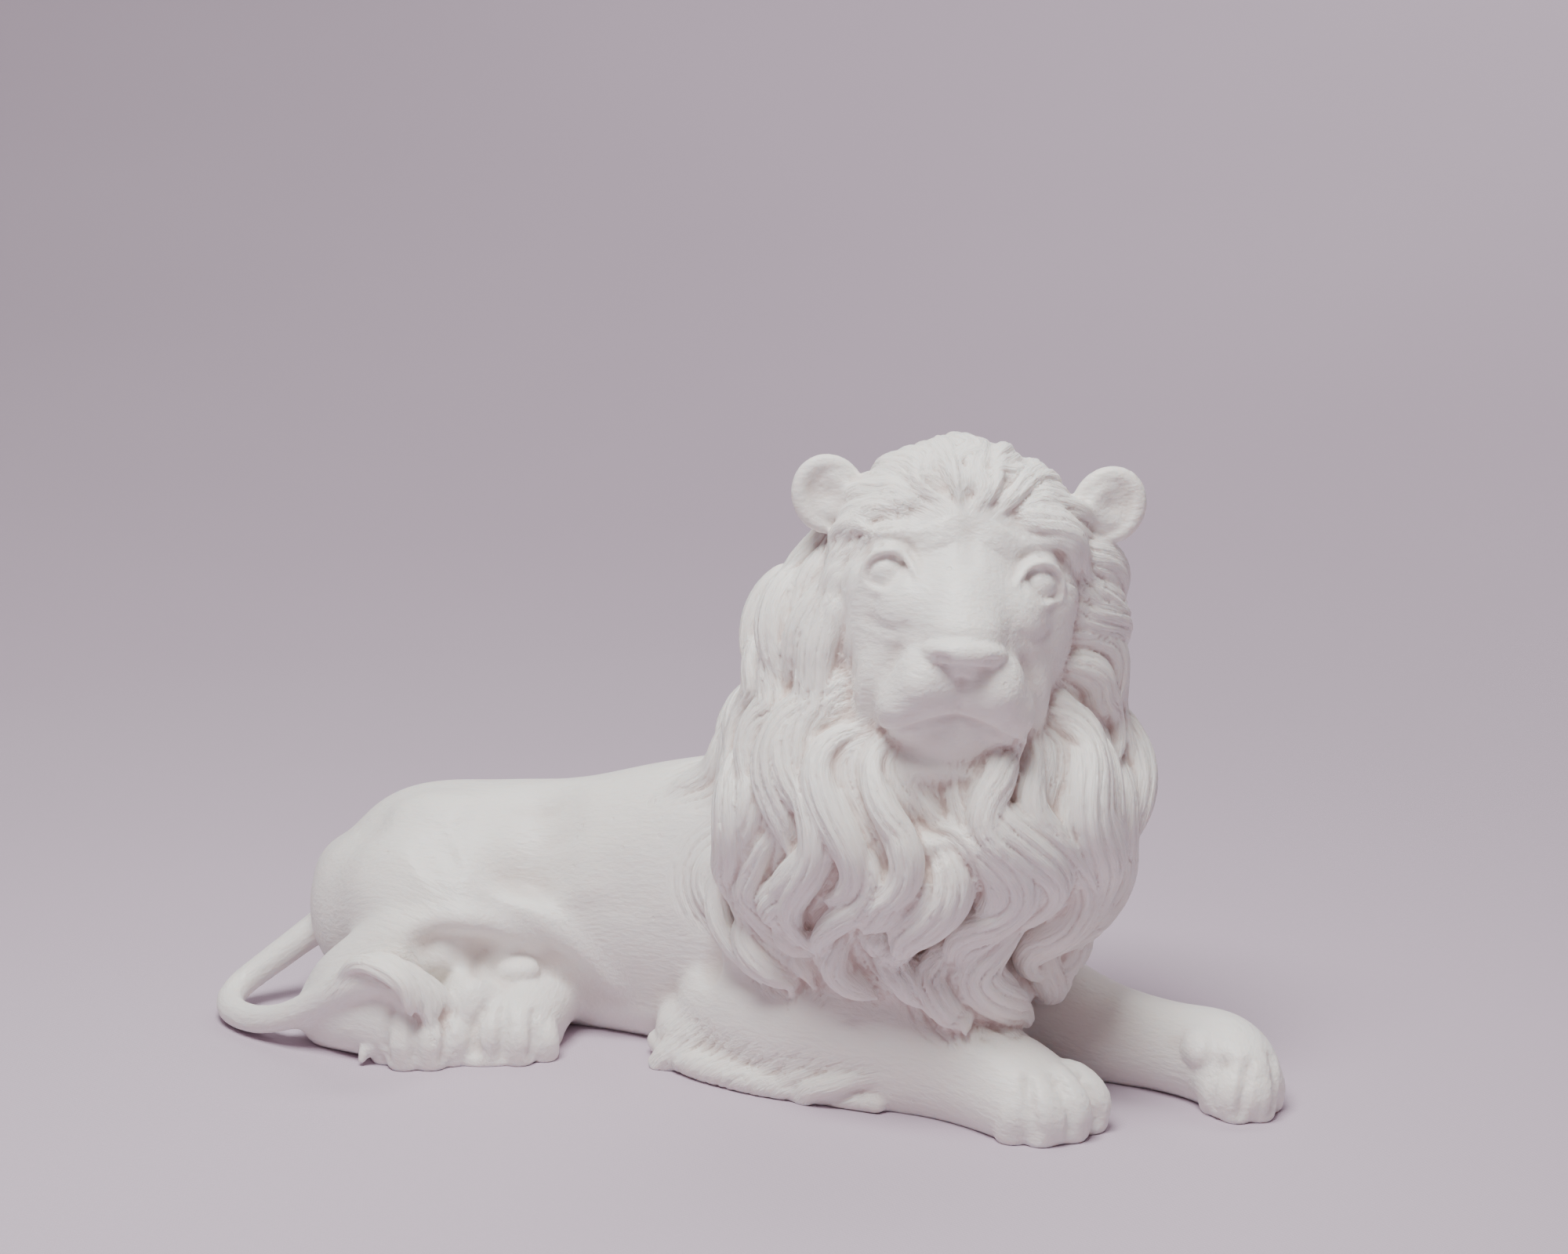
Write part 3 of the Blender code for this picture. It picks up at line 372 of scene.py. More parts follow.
def tail(clay):
    """Out behind the rump, round on the floor and forward over the right hind foot."""
    clay.tube([(-114, -6, 27, 6, 6), (-123, -14, 19.5, 4.2, 4.2), (-131, -25, 10.5, 3.6, 3.6),
               (-134.5, -34, 4.6, 3.4, 3.4), (-128, -41, 3.2, 3.4, 3.4),
               (-117, -43.5, 3.8, 3.4, 3.4), (-106, -43.5, 7, 3.4, 3.4), (-96, -42, 12.5, 3.6, 3.6),
               (-87, -40.5, 18, 4.2, 4.4), (-80, -38.5, 21, 4, 5), (-74.5, -36, 17.5, 3, 4.5),
               (-71.5, -34, 13, 2.5, 3)], sides=14, per_span=5)


def face(clay):
    """Skull, brow, bridge of the nose, muzzle, cheeks and chin."""
    clay.frame = HEAD
    clay.ball((-2, 0, 3), (20.5, 23.5, 21.5))
    clay.ball((7, 0, 10), (11.5, 17, 12))
    clay.tube([(8, 0, 8, 11, 9), (15, 0, 3, 10.5, 8), (23, 0, -3.5, 8.8, 7.2),
               (29.4, 0, -6.8, 7.6, 4.2)])
    clay.ball((18.8, 0, -27.0), (8.8, 11.6, 8.0))
    clay.ball((22.8, 0, -17.4), (8.8, 6.0, 7.6))
    clay.ball((10, 0, -22), (16, 16, 12))
    for side in (1, -1):
        clay.ball((23.6, side * 6.4, -17.0), (10.4, 6.8, 8.8), yaw=side * 8)
        clay.ball((21.0, side * 9.4, -22.4), (9.8, 6.6, 7.4), yaw=side * 15)
        clay.ball((16.6, side * 9.6, -6), (9.6, 8.2, 11))
        clay.tube([(12, side * 10, -3, 6, 6), (15.5, side * 10.5, -11, 6.5, 6.5),
                   (16.6, side * 12.6, -18.5, 7, 7), (13, side * 13, -27, 6.5, 6.5)], up=(1, 0, 0))
        clay.ball((6, side * 14, -9), (13, 10.5, 16))
        clay.ball((9.5, side * 17, -2), (8, 7.5, 9))
        clay.ball((11.5, side * 12.5, 8.5), (6.5, 9, 5.5), roll=side * -12)


def ears(clay):
    """Round ears: a thick cup with a soft rim on each side."""
    clay.frame = HEAD
    for side, out, up in EARS:
        lean = side * -24
        clay.ball((0.2, side * out, up), (3.4, 6.0, 6.6), yaw=side * 20, roll=lean)
        rim = []
        for degrees in range(-60, 241, 20):
            edge = turned(roll=lean) @ Vector((0, 5.8 * math.cos(math.radians(degrees)),
                                               6.6 * math.sin(math.radians(degrees))))
            rim.append((1.2, side * out + edge.y, up + edge.z, 1.8, 1.6))
        clay.tube(rim, up=(1, 0, 0), sides=10, per_span=2)


def eyes(clay, skin):
    """Eyeball, raised iris, the two lids as rims, and the pouch below."""
    clay.frame = HEAD
    upper = ((-5.4, -2.6, 0.5, 0.6), (-4.9, 0.8, 1.2, 0.75), (-2.9, 3.7, 1.8, 0.85), (0, 4.8, 2.1, 0.9),
             (2.9, 3.7, 1.7, 0.85), (4.7, 0.9, 0.9, 0.75), (5.0, -2.0, 0.0, 0.55))
    lower = ((-5.4, -2.7, 0.3, 0.6), (-2.8, -3.3, 0.6, 0.7), (0, -3.5, 0.8, 0.75),
             (2.8, -3.2, 0.5, 0.7), (5.0, -2.2, 0.0, 0.55))
    out, up = EYE
    for side in (1, -1):
        deep = skin.face_depth(side * out, up)
        clay.ball((deep - 2.8, side * out, up + 0.3), (4.9, 5.2, 4.6))
        clay.ball((deep + 0.4, side * out, up + 0.2), (2.5, 3.3, 3.3))
        for lid in (upper, lower):
            rim = []
            for y, z, lift, thick in lid:
                x = 0.75 * skin.face_depth(side * (out + y), up + z) + 0.25 * deep + lift
                rim.append((x, side * (out + y), up + z, thick, thick))
            clay.tube(rim, up=(1, 0, 0), sides=10)
        clay.ball((deep - 3.2, side * out, up - 7.2), (4.8, 6.2, 3.0))


def nose(clay):
    """Wings and tip of the nose, and its base above the split of the lip."""
    clay.frame = HEAD
    clay.tube([(30.0, -6.3, -10.2, 2.1, 2.1), (32.4, -3.9, -9.7, 2.4, 2.3),
               (33.3, 0, -9.4, 2.6, 2.4), (32.4, 3.9, -9.7, 2.4, 2.3),
               (30.0, 6.3, -10.2, 2.1, 2.1)], up=(0.4, 0, 1), sides=14)
    clay.ball((30.0, 0, -12.2), (2.6, 4.0, 3.4))
    clay.frame = BODY


def toes(clay):
    """Rounded toes of the four paws."""
    clay.frame = BODY
    for paw in PAWS:
        for x, y, yaw, size in paw:
            a = math.radians(yaw)
            rows = []
            for back, high, wide, tall in TOE:
                rows.append((x - back * size * math.cos(a), y - back * size * math.sin(a),
                             high * size, wide * size, tall * size))
            clay.tube(rows, sides=14, per_span=3)
    clay.ball((70.4, 51.4, 12.0), (6.4, 4.4, 4.6), yaw=-60)
    clay.ball((-67, -10.6, 17.0), (5.2, 3.8, 3.0), yaw=30)
    clay.tube([(-80, -37, 6, 2.6, 2.6), (-83.5, -40.5, 3.4, 1.8, 1.8), (-84, -42, 1.4, 0.9, 0.9)], sides=10)


def tail_tuft(clay):
    """Strands of the tail's end, draped over the right hind foot."""
    clay.frame = Matrix.Identity(4)
    for i in range(6):
        out = (i - 2.5) * 1.9
        sway = 0.8 * math.sin(2.2 * i)
        rows = [(-92, -41 + 0.4 * out, 17 + 0.2 * out),
                (-84, -39.5 + 0.8 * out, 22.5 - 0.2 * out),
                (-77, -37 + 1.0 * out + sway, 21.5 - 0.4 * out),
                (-72, -35 + 1.1 * out - sway, 17 - 0.6 * out),
                (-69 - 0.4 * abs(out), -34 + 1.1 * out, 10.5 - 0.5 * out + 2 * sway)]
        line = smooth_rows(rows, 3) - (*ORIGIN, 0)
        lay_lock(clay, line, np.tile((0.35, -0.55, 0.75), (len(line), 1)), 2.5, 1.9, 1.1)
    clay.frame = BODY


def hair_flow(p, n):
    """The way the hair lies: away from the face, back over the crown, then down."""
    inverse = np.array(HEAD.inverted())
    head = np.array(HEAD)[:3, :3]
    q = inverse[:3, :3] @ p + inverse[:3, 3]
    out = math.hypot(q[1], q[2] + 4)
    near = math.exp(-(out / 30.0) ** 2)
    high = 1 / (1 + math.exp(-(q[2] - 4) / 5.0))
    behind = 1 / (1 + math.exp((q[0] + 4) / 5.0))
    radial = head @ unit(np.array([0.0, q[1], q[2] + 4]))
    way = radial * (1.3 * near * (1 - behind))
    way = way - head[:, 0] * (0.9 * high * (1 - 0.6 * behind) + 1.7 * near * (1 - high))
    way = way - np.array([0, 0, 0.25 + 1.2 * (1 - near) + 0.9 * behind])
    return unit(way - n * (way @ n)), q


def grow(skin, root, length, wave, phase, curl=0.0, lift=LOCK_LIFT, step=3.0):
    """The middle line of a lock that follows the flow over the skin in waves."""
    p, n = skin.at(root)
    count = max(4, int(round(length / step)))
    line = []
    ups = []
    for i in range(count + 1):
        t = i / count
        line.append(p + n * (lift * math.sin(min(1.0, t * 1.2) * math.pi * 0.62) - 1.0))
        ups.append(n)
        way, q = hair_flow(p, n)
        out = math.hypot(q[1], q[2] + 4)
        reach = HEAD_HEIGHT - min(p[2], LOW_LOCKS)
        if p[2] >= LOW_LOCKS:
            reach += 0.8 * max(0.0, out - reach)
        turn = 2 * math.pi * reach / WAVE_LENGTH + 2.0 * math.atan2(q[1], q[2] + 4) + phase
        way = unit(way + np.cross(n, way) * (wave * math.sin(turn) + curl * t**3))
        if i > 3 and (n[2] < -0.6 or p[2] < mane_hem(p)):
            break
        p, m = skin.at(p + way * step)
        n = unit(n * 0.45 + m * 0.55)
    return np.array(line), np.array(ups)


def mane_hem(p):
    """Height where the locks end: low between the forelegs, higher above them."""
    aside = p[1] + ORIGIN[1] - 22
    return 15 + 12 * min(1.0, max(-aside, 0.5 * aside) / 25)


def lock_roots(skin, rng, spacing=LOCK_SPACING, stagger=LOCK_STAGGER):
    """Roots along the face's hairline first, then spread over the mane."""
    head = np.array(HEAD)
    q = in_head(skin.points)
    narrow = 24.5 - 0.28 * np.clip(-8 - q[:, 2], 0, 20)
    bare = (q[:, 0] > 0) & (np.hypot(q[:, 1] / narrow, (q[:, 2] + 8) / 25.5) < 1.0)
    x = skin.points[:, 0] + ORIGIN[0]
    z = skin.points[:, 2]
    y = skin.points[:, 1] + ORIGIN[1]
    mane = (x > -30 - 0.05 * (z - 60)) & (z > 36) & ~((x < -10) & (z < 42)) & ~bare
    mane &= ~((x < -20) & (y < 14) & (z < 80))
    roots = []
    for i in range(HAIRLINE):
        if i in (HAIRLINE // 2 - 1, HAIRLINE // 2):
            continue
        a = 2 * math.pi * (i + 0.5) / HAIRLINE
        high = -8 + 25.5 * math.cos(a)
        aside = (24.0 - 0.28 * max(0.0, -8 - high)) * math.sin(a)
        deep = 16 - 0.016 * aside * aside if high > 0 else 10
        roots.append(skin.at(head[:3, :3] @ np.array([deep, aside, high]) + head[:3, 3])[0])
    ways = [hair_flow(*skin.at(p))[0] for p in roots]
    order = np.where(mane)[0]
    rng.shuffle(order)
    for i in order:
        gap = skin.points[i] - np.array(roots)
        along = np.einsum("ij,ij->i", gap, np.array(ways))
        across = np.sqrt(np.maximum((gap**2).sum(1) - along**2, 0))
        if ((across / spacing) ** 2 + (along / stagger) ** 2).min() > 1:
            roots.append(skin.points[i])
            ways.append(hair_flow(skin.points[i], skin.normals[i])[0])
    return roots


def part_mane(obj):
    """Presses long wavy valleys into the mane's core, so that the locks fall in big clumps."""
    skin = Skin(obj)
    rng = np.random.default_rng(5)
    tool = Tool(obj, Matrix.Identity(4))
    for root in lock_roots(skin, rng, 16.0, 46.0)[HAIRLINE - 2:]:
        length = min(46, root[2] - mane_hem(root))
        if root[0] + ORIGIN[0] < -8 or length < SHORTEST_LOCK:
            continue
        line, _ = grow(skin, root, length, 0.7, rng.uniform(-1, 1), 0.0, 0.5)
        tool.stroke(line, rng.uniform(5.0, 7.0), rng.uniform(-4.6, -3.0))
    tool.done()


def mane_locks(clay, skin):
    """Wavy locks, thin at the root and the tip, overlapping like shingles; some stand out of the rest."""
    rng = np.random.default_rng(7)
    clay.frame = Matrix.Identity(4)
    for root in lock_roots(skin, rng):
        low = root[2] < LOW_LOCKS
        length = rng.uniform(40, 66) if low else rng.uniform(28, 42)
        length = min(length, 1.3 * (root[2] - mane_hem(root)) + 4)
        behind = root[0] + ORIGIN[0] < NAPE
        if behind:
            length = min(length, 24)
        if length < SHORTEST_LOCK:
            continue
        bold = rng.uniform(0.7, 1.35)
        width = min(LOCK_HALF_WIDTH * bold, 0.17 * length)
        curl = rng.uniform(-0.4, 0.4) if root[0] + ORIGIN[0] < -5 else rng.uniform(-1.0, 1.0)
        wave = (0.85 if low else 0.65) * rng.uniform(0.8, 1.2)
        lift = LOCK_LIFT * (0.5 + 0.6 * bold) + rng.uniform(-0.6, 1.2) if low else LOCK_LIFT * 0.6 * bold
        if behind:
            lift = 0.5
        line, ups = grow(skin, root, length, wave, rng.uniform(-0.7, 0.7), curl, lift)
        depth = LOCK_HALF_DEPTH * (0.6 + 0.4 * bold) * (0.6 if behind else 1.0)
        lay_lock(clay, line, ups, width, depth, 0.9 if low else 0.7, 0.75)
    clay.frame = BODY


def lay_lock(clay, line, ups, width, depth, blunt=1.0, ease=None):
    """A lens-shaped lock that swells from the root and closes at the tip."""
    clay.locks.append((line, ups, width))
    ease = 0.8 / (1 + max(0.0, blunt - 0.7)) if ease is None else ease
    swell = np.sin(math.pi * np.linspace(0, 1, len(line)) ** blunt) ** ease
    rows = np.column_stack([line, width * (0.1 + 0.9 * swell), depth * (0.12 + 0.88 * swell)])
    clay.tube(smooth_rows(rows, 2), ups=smooth_rows(ups, 2), sides=12, per_span=1, caps=2)


def crown_tufts(clay, skin):
    """Tufts that fan out from the forehead's middle over the crown, and sweep back before the ears."""
    head = np.array(HEAD)
    rng = np.random.default_rng(11)
    plans = []
    for row in range(3):
        for i in range(7 - row):
            y = (i - 3 + 0.5 * row) * (5.6 + 0.5 * row) + rng.uniform(-1.2, 1.2)
            start = 14.8 + 3.8 * row + rng.uniform(-1.2, 1.2)
            rise = rng.uniform(-1.8, 1.2) + 0.5 * row
            lean = rng.uniform(-3.2, 3.2)
            plans.append(((16.0 - 0.006 * y * y - row, 0.34 * y, start - 0.002 * y * y),
                          (13.0 - row, 0.66 * y + lean, start + 4.5 - 0.006 * y * y),
                          (6.5, 1.0 * y - lean, 25.0 + rise - 0.022 * y * y),
                          (0, 1.25 * y, 25.5 + rise - 0.026 * y * y),
                          (-7, 1.42 * y + lean, 24.0 - 0.02 * y * y)))
    clay.frame = Matrix.Identity(4)
    for plan in plans:
        spots = smooth_rows(plan, 3)
        line = []
        ups = []
        for i, spot in enumerate(spots):
            t = i / (len(spots) - 1)
            p, n = skin.at(head[:3, :3] @ spot + head[:3, 3])
            line.append(p + n * (2.3 * math.sin(math.pi * t) - 0.9))
            ups.append(n)
        width = rng.uniform(2.4, 3.9)
        lay_lock(clay, np.array(line), np.array(ups), width, rng.uniform(3.4, 4.6), 1.25, 0.9)
    forward = head[:3, 0]
    for side, ear, _ in EARS:
        for i in range(3):
            drop = 4.6 * i
            reach = ear - 3.0
            plan = ((14.5 - 1.0 * i, side * (11.5 + 3.0 * i - 0.18 * i * i), 17.5 - drop),
                    (11.0 - i, side * (16.5 + 2.6 * i - 0.1 * i * i), 19.0 - 1.1 * drop),
                    (6.5 - 1.2 * i, side * (0.5 * reach + 0.5 * (21.5 + i)), 17.5 - 1.25 * drop),
                    (2.5 - 1.6 * i, side * reach, 13.5 - 1.45 * drop))
            spots = smooth_rows(plan, 3) @ head[:3, :3].T + head[:3, 3]
            line = []
            for k, spot in enumerate(spots):
                p, n = skin.at(spot)
                t = k / (len(spots) - 1)
                free = 0.8 * min(1.0, max(0.0, (t - 0.5) / 0.4))
                line.append((p + n * (0.6 + 1.6 * math.sin(math.pi * t))) * (1 - free) + spot * free)
            ups = np.tile(forward, (len(line), 1))
            lay_lock(clay, np.array(line), ups, rng.uniform(2.4, 3.4), 2.8, 0.95)
    clay.frame = BODY


def elbow_fur(clay):
    """Fringe of tufts swept back from the near elbow and forearm down to the floor."""
    rng = np.random.default_rng(3)
    clay.tube([(-38, 4.0, 3, 3.0, 2.6), (-31, 0.6, 3, 3.8, 3.4), (-21, -1.6, 2.8, 3.8, 3.6),
               (-6, -0.8, 2.4, 3.6, 3.4), (8, 3.0, 2, 3.2, 3.0), (20, 5.5, 2, 2.4, 2.4)], sides=12)
    for i in range(12):
        t = i / 11
        x = -32 + 38 * t + rng.uniform(-1.6, 1.6)
        size = (1.2 - 0.45 * t) * rng.uniform(0.8, 1.2)
        out = rng.uniform(-1.6, 0.2)
        back = rng.uniform(-2.5, 2.0)
        rows = [(x + 15, 5.2, 12.5 - 4 * t, 2.6 * size, 2.2 * size),
                (x + 8 + back, 1.4 + 0.6 * t, 7.5 - 2 * t, 3.4 * size, 3.0 * size),
                (x + 3 + back, -1.8 + 2.0 * t - out, 3.4, 3.0 * size, 2.8 * size),
                (x + 0.4 + back, -3.0 + 3.0 * t - out, 0.8, 2.4 * size, 2.0 * size)]
        clay.tube(rows, up=(0.2, -0.7, 0.7), sides=10)
        line = smooth_rows(rows, 3)[:, :3] - (*ORIGIN, 0)
        clay.locks.append((line, np.tile((0.2, -0.7, 0.7), (len(line), 1)), 3.2 * size))


def carve_sockets(obj):
    """Sockets of the eyes, and the recess behind the chin."""
    tool = Tool(obj, HEAD)
    for side in (1, -1):
        tool.stroke([(16, side * EYE[0], EYE[1] + 0.8)], 7.0, -1.5, facing=(1, 0, 0))
    tool.stroke([(19, 0, -38), (24, 0, -50)], 12.0, -7.0)
    tool.done()


def carve_body(obj):
    """Hip, waist, ribs, the fold between thigh and flank, and the skin's wrinkles."""
    tool = Tool(obj, BODY)
    tool.stroke([(-74, 5, 58), (-70, -1, 51), (-67, -4, 44), (-66, -7, 38), (-67, -9, 32)], 13.5, -3.4)
    tool.stroke([(-101, -16, 44), (-95, -14, 50), (-88, -10, 51), (-81, -8, 49)], 11.0, 1.2)
    tool.stroke([(-84, -24, 40), (-81, -20, 43), (-79, -16, 44)], 9.0, -1.3)
    tool.stroke([(-100, -24, 34), (-92, -27, 32), (-84, -27, 31)], 8.0, 0.8)
    tool.stroke([(-80, -22, 33), (-74, -16, 33), (-68, -10, 31)], 4.0, -0.6)
    tool.stroke([(-77, -25, 30), (-71, -17, 29), (-66, -10, 25), (-61, -8, 19)], 4.6, 1.6)
    tool.stroke([(-82, -29, 22), (-76, -26, 25), (-71, -20, 23), (-69, -14, 18)], 6.5, -4.0)
    tool.stroke([(-60, -3, 48), (-56, -6, 40), (-54, -6, 32)], 11.0, 1.0)
    tool.stroke([(-47, -3, 47), (-44, -4, 38), (-44, -4, 30)], 9.0, -0.7)
    tool.stroke([(-35, -2, 50), (-32, -3, 40), (-31, -2, 30)], 8.0, 0.8)
    tool.stroke([(-26, 0, 46), (-22, -1, 36), (-21, 2, 26), (-23, 0, 19)], 5.0, -2.0)
    tool.stroke([(-104, 24, 44), (-92, 32, 40), (-80, 34, 30)], 9.0, 1.0)
    tool.stroke([(-76, 36, 44), (-68, 38, 34), (-62, 38, 22)], 7.0, -1.4)
    tool.done()


def carve_face(obj):
    """Nostrils, mouth, muzzle, folds round the eyes, brow and hollows of the ears."""
    tool = Tool(obj, HEAD)
    for side, out, up in EARS:
        nostril = [(34.6, side * 3.0, -11.6), (34.0, side * 4.7, -10.7), (32.4, side * 6.3, -11.2)]
        tool.stroke(nostril, 1.7, -1.0)
        tool.stroke(tool.front([(side * 9.5, -8), (side * 13.6, -13), (side * 16.4, -19),
                                (side * 16.8, -25), (side * 15.6, -31)]), 3.2, -1.1)
        tool.stroke(tool.front([(side * 9, -15), (side * 12, -20), (side * 12.5, -25)]), 5.0, 0.4)
        y, z = EYE
        eye = side * y
        ring = [(side * (y + across), z + high)
                for across, high in ((-4.0, -1.8), (-3.5, 1.6), (0, 3.7), (3.5, 1.6), (4.0, -1.8))]
        tool.stroke(tool.front(ring), 1.0, -0.5)
        crease = [(eye + across, z + high)
                  for across, high in ((-6.8, 0.8), (-4.0, 5.6), (0, 7.0), (4.0, 5.6), (6.8, 0.8))]
        tool.stroke(tool.front(crease), 1.4, -0.7)
        tool.stroke(tool.front([(eye - 5, z - 8.2), (eye, z - 10.0), (eye + 5, z - 8.2)]), 2.2, -0.6)
        tool.stroke(tool.front([(side * 5.5, 8.5), (side * 7.5, 13.0)]), 6.0, 0.8)
        tool.stroke([(3.0, side * (out + 0.6), up + 0.6)], 4.6, -1.6, facing=(1, 0, 0))
    mouth = [(y, -23.5 - 5.6 * (abs(y) / 14) ** 1.5) for y in range(-14, 15, 2)]
    tool.stroke(tool.front(mouth), 1.5, -0.9, taper=False)
    tool.stroke(tool.front([(0, -15.5), (0, -18), (0, -20), (0, -22)]), 1.8, -0.7, taper=False)
    tool.stroke(tool.front([(0, 5.0), (0, 9.0), (0, 14.0)]), 3.0, -0.5)
    tool.done()


def carve_paws(obj):
    """Grooves between the toes, from the floor up over the paw."""
    tool = Tool(obj, BODY)
    for paw in PAWS:
        for (x0, y0, yaw0, size0), (x1, y1, yaw1, size1) in zip(paw, paw[1:]):
            a = math.radians(0.5 * (yaw0 + yaw1))
            size = 0.5 * (size0 + size1)
            path = [(0.5 * (x0 + x1) - back * size * math.cos(a),
                     0.5 * (y0 + y1) - back * size * math.sin(a), high * size)
                    for back, high in ((-1, 0.5), (-0.5, 4), (1.0, 7.5), (3.5, 10.5), (6.0, 12.0))]
            tool.stroke(path, 1.9, -1.0, snap=True)
    tool.done()


def sculpt():
    """The whole casting, untrimmed: trunk, then limbs and head, then the carving."""
    clay = Clay()
    trunk(clay)
    mane_core(clay)
    body = clay.melt("body", BODY_GRAIN, 0.6, 20)
    clay = Clay()
    face(clay)
    mask = clay.melt("mask", FACE_GRAIN, 0.6, 14)
    clay = Clay()
    clay.add(body)
    clay.add(mask)
    forelegs(clay)
    hind_legs(clay)
    tail(clay)
    rough = clay.melt("rough", LIMB_GRAIN, 0.5, 8)
    carve_sockets(rough)
    carve_body(rough)
    part_mane(rough)
    skin = Skin(rough)
    clay = Clay()
    clay.add(rough)
    ears(clay)
    eyes(clay, skin)
    nose(clay)
    toes(clay)
    tail_tuft(clay)
    elbow_fur(clay)
    crown_tufts(clay, skin)
    mane_locks(clay, skin)
    locks = clay.locks
    lion = clay.melt("lion", CARVING_GRAIN, 0.5, 2)
    carve_face(lion)
    carve_paws(lion)
    for spent in (body, mask, rough):
        bpy.data.objects.remove(spent)
    return lion, locks


def grain_lines():
    """Middle lines that the fine fur of the bare parts follows, as rows of x, y, z and reach."""
    return (
        ((22, 28, 36, 30), (-20, 26, 33, 33), (-46, 21, 31, 29), (-68, 13, 29, 25), (-88, 2, 28, 25),
         (-105, -5, 27, 22), (-119, -11, 25, 13)),
        ((50, 20, 6, 12), (28, 17, 9, 13), (12, 13, 10, 15), (-8, 9, 11, 16), (-24, 8, 10, 13)),
        ((81, 52, 7, 9), (74, 57, 8, 10), (42, 56, 8, 12), (20, 54, 12, 15), (-6, 52, 14, 12)),
        ((-75, -35, 6, 9), (-82, -37, 9, 9), (-92, -37, 9, 9), (-100, -36, 8, 8)),
        ((-57, -17, 7, 11), (-60, -12, 8, 10), (-66, -3, 9, 9)),
        ((-116, -6, 26, 6), (-124, -14, 20, 5), (-131, -25, 12, 4), (-134, -34, 6, 4), (-128, -41, 5, 4),
         (-117, -43, 6, 4), (-106, -43, 11, 4), (-96, -42, 15, 4), (-87, -41, 18, 5), (-79, -39, 16, 5)),
    )


# Columns of the comb's table, a row for each station of a hair line: its place and the ways along, across
# and off it, then single numbers. TURN counts between two of a lock's points; FIRST and LAST are rows.
PLACE = slice(0, 3)
RUN = slice(3, 6)
SIDE = slice(6, 9)
TOP = slice(9, 12)
ALONG, REACH, NUMBER, ON_LOCK, TURN, FIRST, LAST = range(12, 19)


def comb(locks):
    """Closely spaced stations on every lock and grain line."""
    table = []
    rows = [(line, ups, width, True) for line, ups, width in locks]
    for line in grain_lines():
        points = smooth_rows(line, 6)
        points[:, :2] -= ORIGIN
        rows.append((points[:, :3], np.tile((0.0, 0.0, 1.0), (len(points), 1)), points[:, 3], False))
    for number, (line, ups, width, lock) in enumerate(rows):
        mid = smooth_rows(line, STATIONS) if lock else np.array(line)
        top = smooth_rows(ups, STATIONS) if lock else np.array(ups)
        run = np.gradient(mid, axis=0)
        run /= np.linalg.norm(run, axis=1)[:, None]
        side = np.cross(run, top)
        side /= np.maximum(np.linalg.norm(side, axis=1), 1e-6)[:, None]
        top = np.cross(side, run)
        along = np.concatenate([[0], np.cumsum(np.linalg.norm(np.diff(mid, axis=0), axis=1))])
        swell = np.sin(math.pi * np.linspace(0, 1, len(mid)) ** 0.85) ** 0.6
        reach = width * (0.15 + 0.85 * swell) if lock else width
        first = sum(len(t) for t in table)
        marks = np.tile((number, lock, 0, first, first + len(mid) - 1), (len(mid), 1))
        marks[:, TURN - NUMBER] = np.arange(len(mid)) % STATIONS
        table.append(np.column_stack([mid, run, side, top, along, reach, marks]))
    return np.vstack(table)


